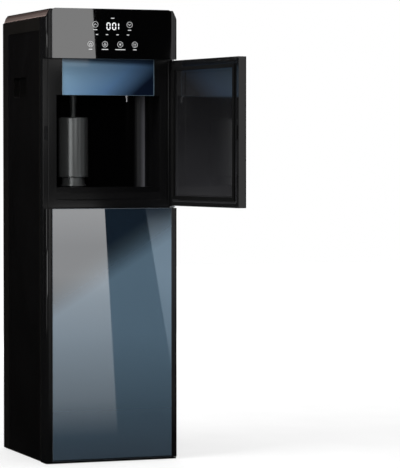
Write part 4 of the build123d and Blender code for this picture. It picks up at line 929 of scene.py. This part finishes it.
class DISPENSER_OT_niche(bpy.types.Operator):
    """Finishes the niche, its canister and outlets, the door linings and the tanks"""

    bl_idname = "dispenser.niche"
    bl_label = "Niche and linings"

    def execute(self, context):
        steel = finish().steel
        dress(lining_material(), "niche_liner")
        dress(deck_material(), "niche_deck", "mid_shelf")
        dress(door_lining_material(), "lower_door_liner", "upper_door_liner")
        dress(metal_material("Brushed steel", steel, rough=0.34), "hot_tank", "cold_tank")
        canister = metal_material("Satin canister", lighter(steel, CANISTER_SHARE), rough=0.30, metallic=0.9)
        dress(canister, "canister_body", "canister_base")
        dress(metal_material("Dark pipe", lighter(steel, PIPE_SHARE), rough=0.50), "feed_pipe")
        dress(metal_material("Plated spout", SPOUT_STEEL, rough=0.25), "spout")
        soften(finish().edge_round / 2, "upper_door_liner", "lower_door_liner")
        return {"FINISHED"}


class DISPENSER_OT_works(bpy.types.Operator):
    """Finishes the works inside and the fittings on the back"""

    bl_idname = "dispenser.works"
    bl_label = "Inner works"

    def execute(self, context):
        dress(foam_material(), "hot_tank_jacket", "cold_tank_jacket")
        dress(tube_material(), "supply_tube", "feed_tubes", "outlet_tubes")
        dress(board_material(), "display_board", "power_board")
        dress(light_plastic_material(), "outlet_valves", "suction_nipple", "drain_pipes")
        dress(metal_material("Bare aluminium", BARE_ALUMINIUM, rough=0.32), "heat_sink", "peltier_stack")
        dress(machine_material(), "fan_frame", "fan_rotor", "water_pump", "display_module",
              "switch_housings")
        dress(rocker_material("Red rocker", ROCKER_RED), "heat_rocker")
        dress(rocker_material("Green rocker", ROCKER_GREEN), "cool_rocker")
        return {"FINISHED"}


class DISPENSER_OT_marks(bpy.types.Operator):
    """Draws the lit digits, key rings, icons and label bars on the control glass"""

    bl_idname = "dispenser.marks"
    bl_label = "Control marks"

    def execute(self, context):
        lit = lit_material("Lit digits", marks().digit_glow)
        dim = lit_material("Lit keys", marks().key_glow)
        digits = Sheet("display_digits")
        for x, segments in zip(DIGIT_PLACES, DIGIT_SEGMENTS):
            digit(digits, *on_glass(x, DIGIT_ROW), segments)
        digits.finish(lit, "cabinet", "white_plastic")

        stroke = marks().stroke
        radius = marks().ring_radius
        rings = Sheet("key_rings")
        icons = Sheet("key_icons")
        for x, z, way in CHEVRON_KEYS:
            place = on_glass(x, z)
            rings.arc(*place, radius, stroke, start=0, end=360, steps=RING_STEPS)
            wings = spots(*place, radius * CHEVRON_SHARE, (-1, -way / 2), (0, way / 2), (1, -way / 2))
            icons.stroke(wings, stroke * CHEVRON_STROKE)
        for x, icon in zip(LOWER_KEYS, KEY_ICONS):
            place = on_glass(x, LOWER_KEY_ROW)
            rings.arc(*place, radius, stroke, start=0, end=360, steps=RING_STEPS)
            icon(icons, *place, radius * ICON_SHARE, stroke)
        rings.finish(dim, "cabinet", "white_plastic")
        icons.finish(dim, "cabinet", "white_plastic")

        labels = Sheet("label_bars")
        height = LABEL_HEIGHT * MM
        for x, z, width in LABEL_BARS:
            labels.bar(*on_glass(x, z), width * MM, height, bevel=height * LABEL_CUT)
        labels.finish(dim, "cabinet", "white_plastic")
        return {"FINISHED"}


# The studio
def upright_corners(first, last, low, high):
    """The corners of an upright card between two ends on the floor."""
    return (*first, low), (*last, low), (*last, high), (*first, high)


def level_corners(left, front, right, back, height):
    """The corners of a level card."""
    return (left, front, height), (right, front, height), (right, back, height), (left, back, height)


def seen_in_glass(x, z):
    """Where the camera looks on the card plane when it looks at a place on the front glass."""
    share = (GLASS_FACE - CARD_PLANE) / (GLASS_FACE - CAMERA_PLACE[1])
    return x + (x - CAMERA_PLACE[0]) * share, CARD_PLANE, z + (z - CAMERA_PLACE[2]) * share


def flat_object(name, corners, material):
    """An object of one face."""
    data = bpy.data.meshes.new(name)
    data.from_pydata(corners, [], [tuple(range(len(corners)))])
    data.materials.append(material)
    return add_object(name, data)


def card(name, corners, level, fade=None, tint=WHITE):
    """A card that only shows in polished surfaces. A fade gives shares of its light by height."""
    glow = bpy.data.materials.new(name)
    glow.use_nodes = True
    made = Tree(glow.node_tree)
    made.tree.nodes.clear()
    light = made.node("ShaderNodeEmission", {"Strength": level})
    if fade:
        stops = [(height, lighter(tint, share)) for height, share in fade]
        made.join(made.ramp(made.axis(made.place(), "Z"), *stops), light.inputs["Color"])
    made.node("ShaderNodeOutputMaterial", {"Surface": light.outputs["Emission"]})
    placed = flat_object(name, corners, glow)
    placed.visible_camera = False
    placed.visible_diffuse = False
    placed.visible_shadow = False
    placed.visible_transmission = False


def hang_cards():
    """Dark curtains and soft boxes that the polished fronts look at."""
    dark = studio().curtain_level
    bright = studio().card_level
    far = CURTAIN_REACH
    turns = ((-far, -far), (far, -far), (far, far), (-far, far))
    for number, first in enumerate(turns):
        last = turns[(number + 1) % len(turns)]
        card(f"curtain_{number}", upright_corners(first, last, 0.0, CURTAIN_HEIGHT), dark)
    card("curtain_top", level_corners(-far, -far, far, far, CURTAIN_HEIGHT), dark)
    card("floor_flag", level_corners(-far, -far, far, far, FLAG_HEIGHT), dark)
    for name, left, right, (low, high), share, fade, tint in GLASS_CARDS:
        corners = ((left[0], low), (right[0], low), (right[1], high), (left[1], high))
        card(name, [seen_in_glass(*corner) for corner in corners], bright * share, fade, tint)
    for name, ends, low, high, share in UPRIGHT_CARDS:
        card(name, upright_corners(*ends, low, high), bright * share)
    card("top_box", level_corners(*TOP_BOX), bright * TOP_SHARE)


def soft_box(name, place, size, power):
    """A square area lamp that looks at the middle of the cabinet."""
    lamp = bpy.data.lights.new(name, "AREA")
    lamp.energy = power
    lamp.size = size
    placed = add_object(name, lamp)
    placed.location = place
    placed.rotation_euler = (LAMP_AIM - Vector(place)).to_track_quat("-Z", "Y").to_euler()
    placed.visible_glossy = False


def light_world():
    """White behind the object, and an even fill from all round."""
    world = bpy.data.worlds.new("Studio")
    bpy.context.scene.world = world
    world.use_nodes = True
    made = Tree(world.node_tree)
    path = made.node("ShaderNodeLightPath").outputs
    seen = made.maths("MAXIMUM", path["Is Camera Ray"], path["Is Glossy Ray"])
    through = made.maths("MAXIMUM", seen, path["Is Transmission Ray"])
    back = made.tree.nodes["Background"].inputs
    back["Color"].default_value = (*WHITE, 1.0)
    made.join(made.spread(through, low=studio().fill), back["Strength"])


def lay_floor():
    """A pale floor that fades into the white behind and keeps the object's shadow."""
    made = Finish("Pale floor", Roughness=0.9)
    grain = made.effect("Moulded grain", Scale=80.0)
    made.paint(Base_Color=made.blend(grain["Shade"], *FLOOR_TONES))
    away = made.node("ShaderNodeVectorMath", {0: made.place()}, operation="LENGTH").outputs["Value"]
    lift = made.node("ShaderNodeEmission", {"Strength": made.spread(away, *FLOOR_LIFT, *FLOOR_REACH)})
    none = made.node("ShaderNodeEmission", {"Strength": 0.0})
    path = made.node("ShaderNodeLightPath").outputs
    seen = made.node("ShaderNodeMixShader", {"Fac": path["Is Camera Ray"], 1: none.outputs["Emission"],
                                             2: lift.outputs["Emission"]})
    both = made.node("ShaderNodeAddShader", {0: made.shader.outputs["BSDF"], 1: seen.outputs["Shader"]})
    made.join(both.outputs["Shader"], made.tree.nodes["Material Output"].inputs["Surface"])
    corners = level_corners(-FLOOR_HALF, -FLOOR_HALF, FLOOR_HALF, FLOOR_HALF, 0.0)
    floor = flat_object("floor", corners, made.material)


def place_camera():
    """The photograph's camera."""
    data = bpy.data.cameras.new("photo_camera")
    data.lens = CAMERA_LENS
    data.clip_end = CAMERA_REACH
    placed = add_object("photo_camera", data)
    placed.location = CAMERA_PLACE
    placed.rotation_euler = (math.radians(90.0 - CAMERA_DIP), 0.0, math.radians(-CAMERA_YAW))
    bpy.context.scene.camera = placed


class DISPENSER_OT_studio(bpy.types.Operator):
    """Sets up the floor, the light and the photograph's camera"""

    bl_idname = "dispenser.studio"
    bl_label = "Studio"

    def execute(self, context):
        context.scene.view_settings.view_transform = "Standard"
        light_world()
        lay_floor()
        hang_cards()
        soft_box("key_light", place=(0.3, -0.8, 2.6), size=1.8, power=studio().key_power)
        soft_box("side_light", place=(-1.3, -0.4, 1.9), size=1.0, power=studio().side_power)
        soft_box("right_light", place=(3.0, 0.4, 1.7), size=1.6, power=studio().right_power)
        soft_box("back_light", place=(0.8, 3.4, 1.8), size=1.8, power=studio().back_power)
        soft_box("front_light", place=(-1.2, -4.0, 1.6), size=2.0, power=studio().front_power)
        place_camera()
        return {"FINISHED"}


class DISPENSER_PT_panel(bpy.types.Panel):
    """Lists the dressing steps and their adjustable values"""

    bl_idname = "DISPENSER_PT_panel"
    bl_label = "Water dispenser"
    bl_space_type = "VIEW_3D"
    bl_region_type = "UI"
    bl_category = "Dispenser"

    def draw(self, context):
        for step in STEPS:
            self.layout.operator(step.bl_idname)
        for group in (marks(), finish(), studio()):
            box = self.layout.box()
            for name in group.__annotations__:
                box.prop(group, name)


STEPS = (DISPENSER_OT_cabinet, DISPENSER_OT_glass, DISPENSER_OT_niche, DISPENSER_OT_works,
         DISPENSER_OT_marks, DISPENSER_OT_studio)
CLASSES = (DispenserMarks, DispenserFinish, DispenserStudio) + STEPS + (DISPENSER_PT_panel,)


def register():
    for item in CLASSES:
        bpy.utils.register_class(item)
    bpy.types.Scene.dispenser_marks = bpy.props.PointerProperty(type=DispenserMarks)
    bpy.types.Scene.dispenser_finish = bpy.props.PointerProperty(type=DispenserFinish)
    bpy.types.Scene.dispenser_studio = bpy.props.PointerProperty(type=DispenserStudio)


def unregister():
    del bpy.types.Scene.dispenser_marks
    del bpy.types.Scene.dispenser_finish
    del bpy.types.Scene.dispenser_studio
    for item in reversed(CLASSES):
        bpy.utils.unregister_class(item)


def main():
    register()
    bpy.ops.dispenser.cabinet()
    bpy.ops.dispenser.glass()
    bpy.ops.dispenser.niche()
    bpy.ops.dispenser.works()
    bpy.ops.dispenser.marks()
    bpy.ops.dispenser.studio()


if __name__ == "__main__":
    main()
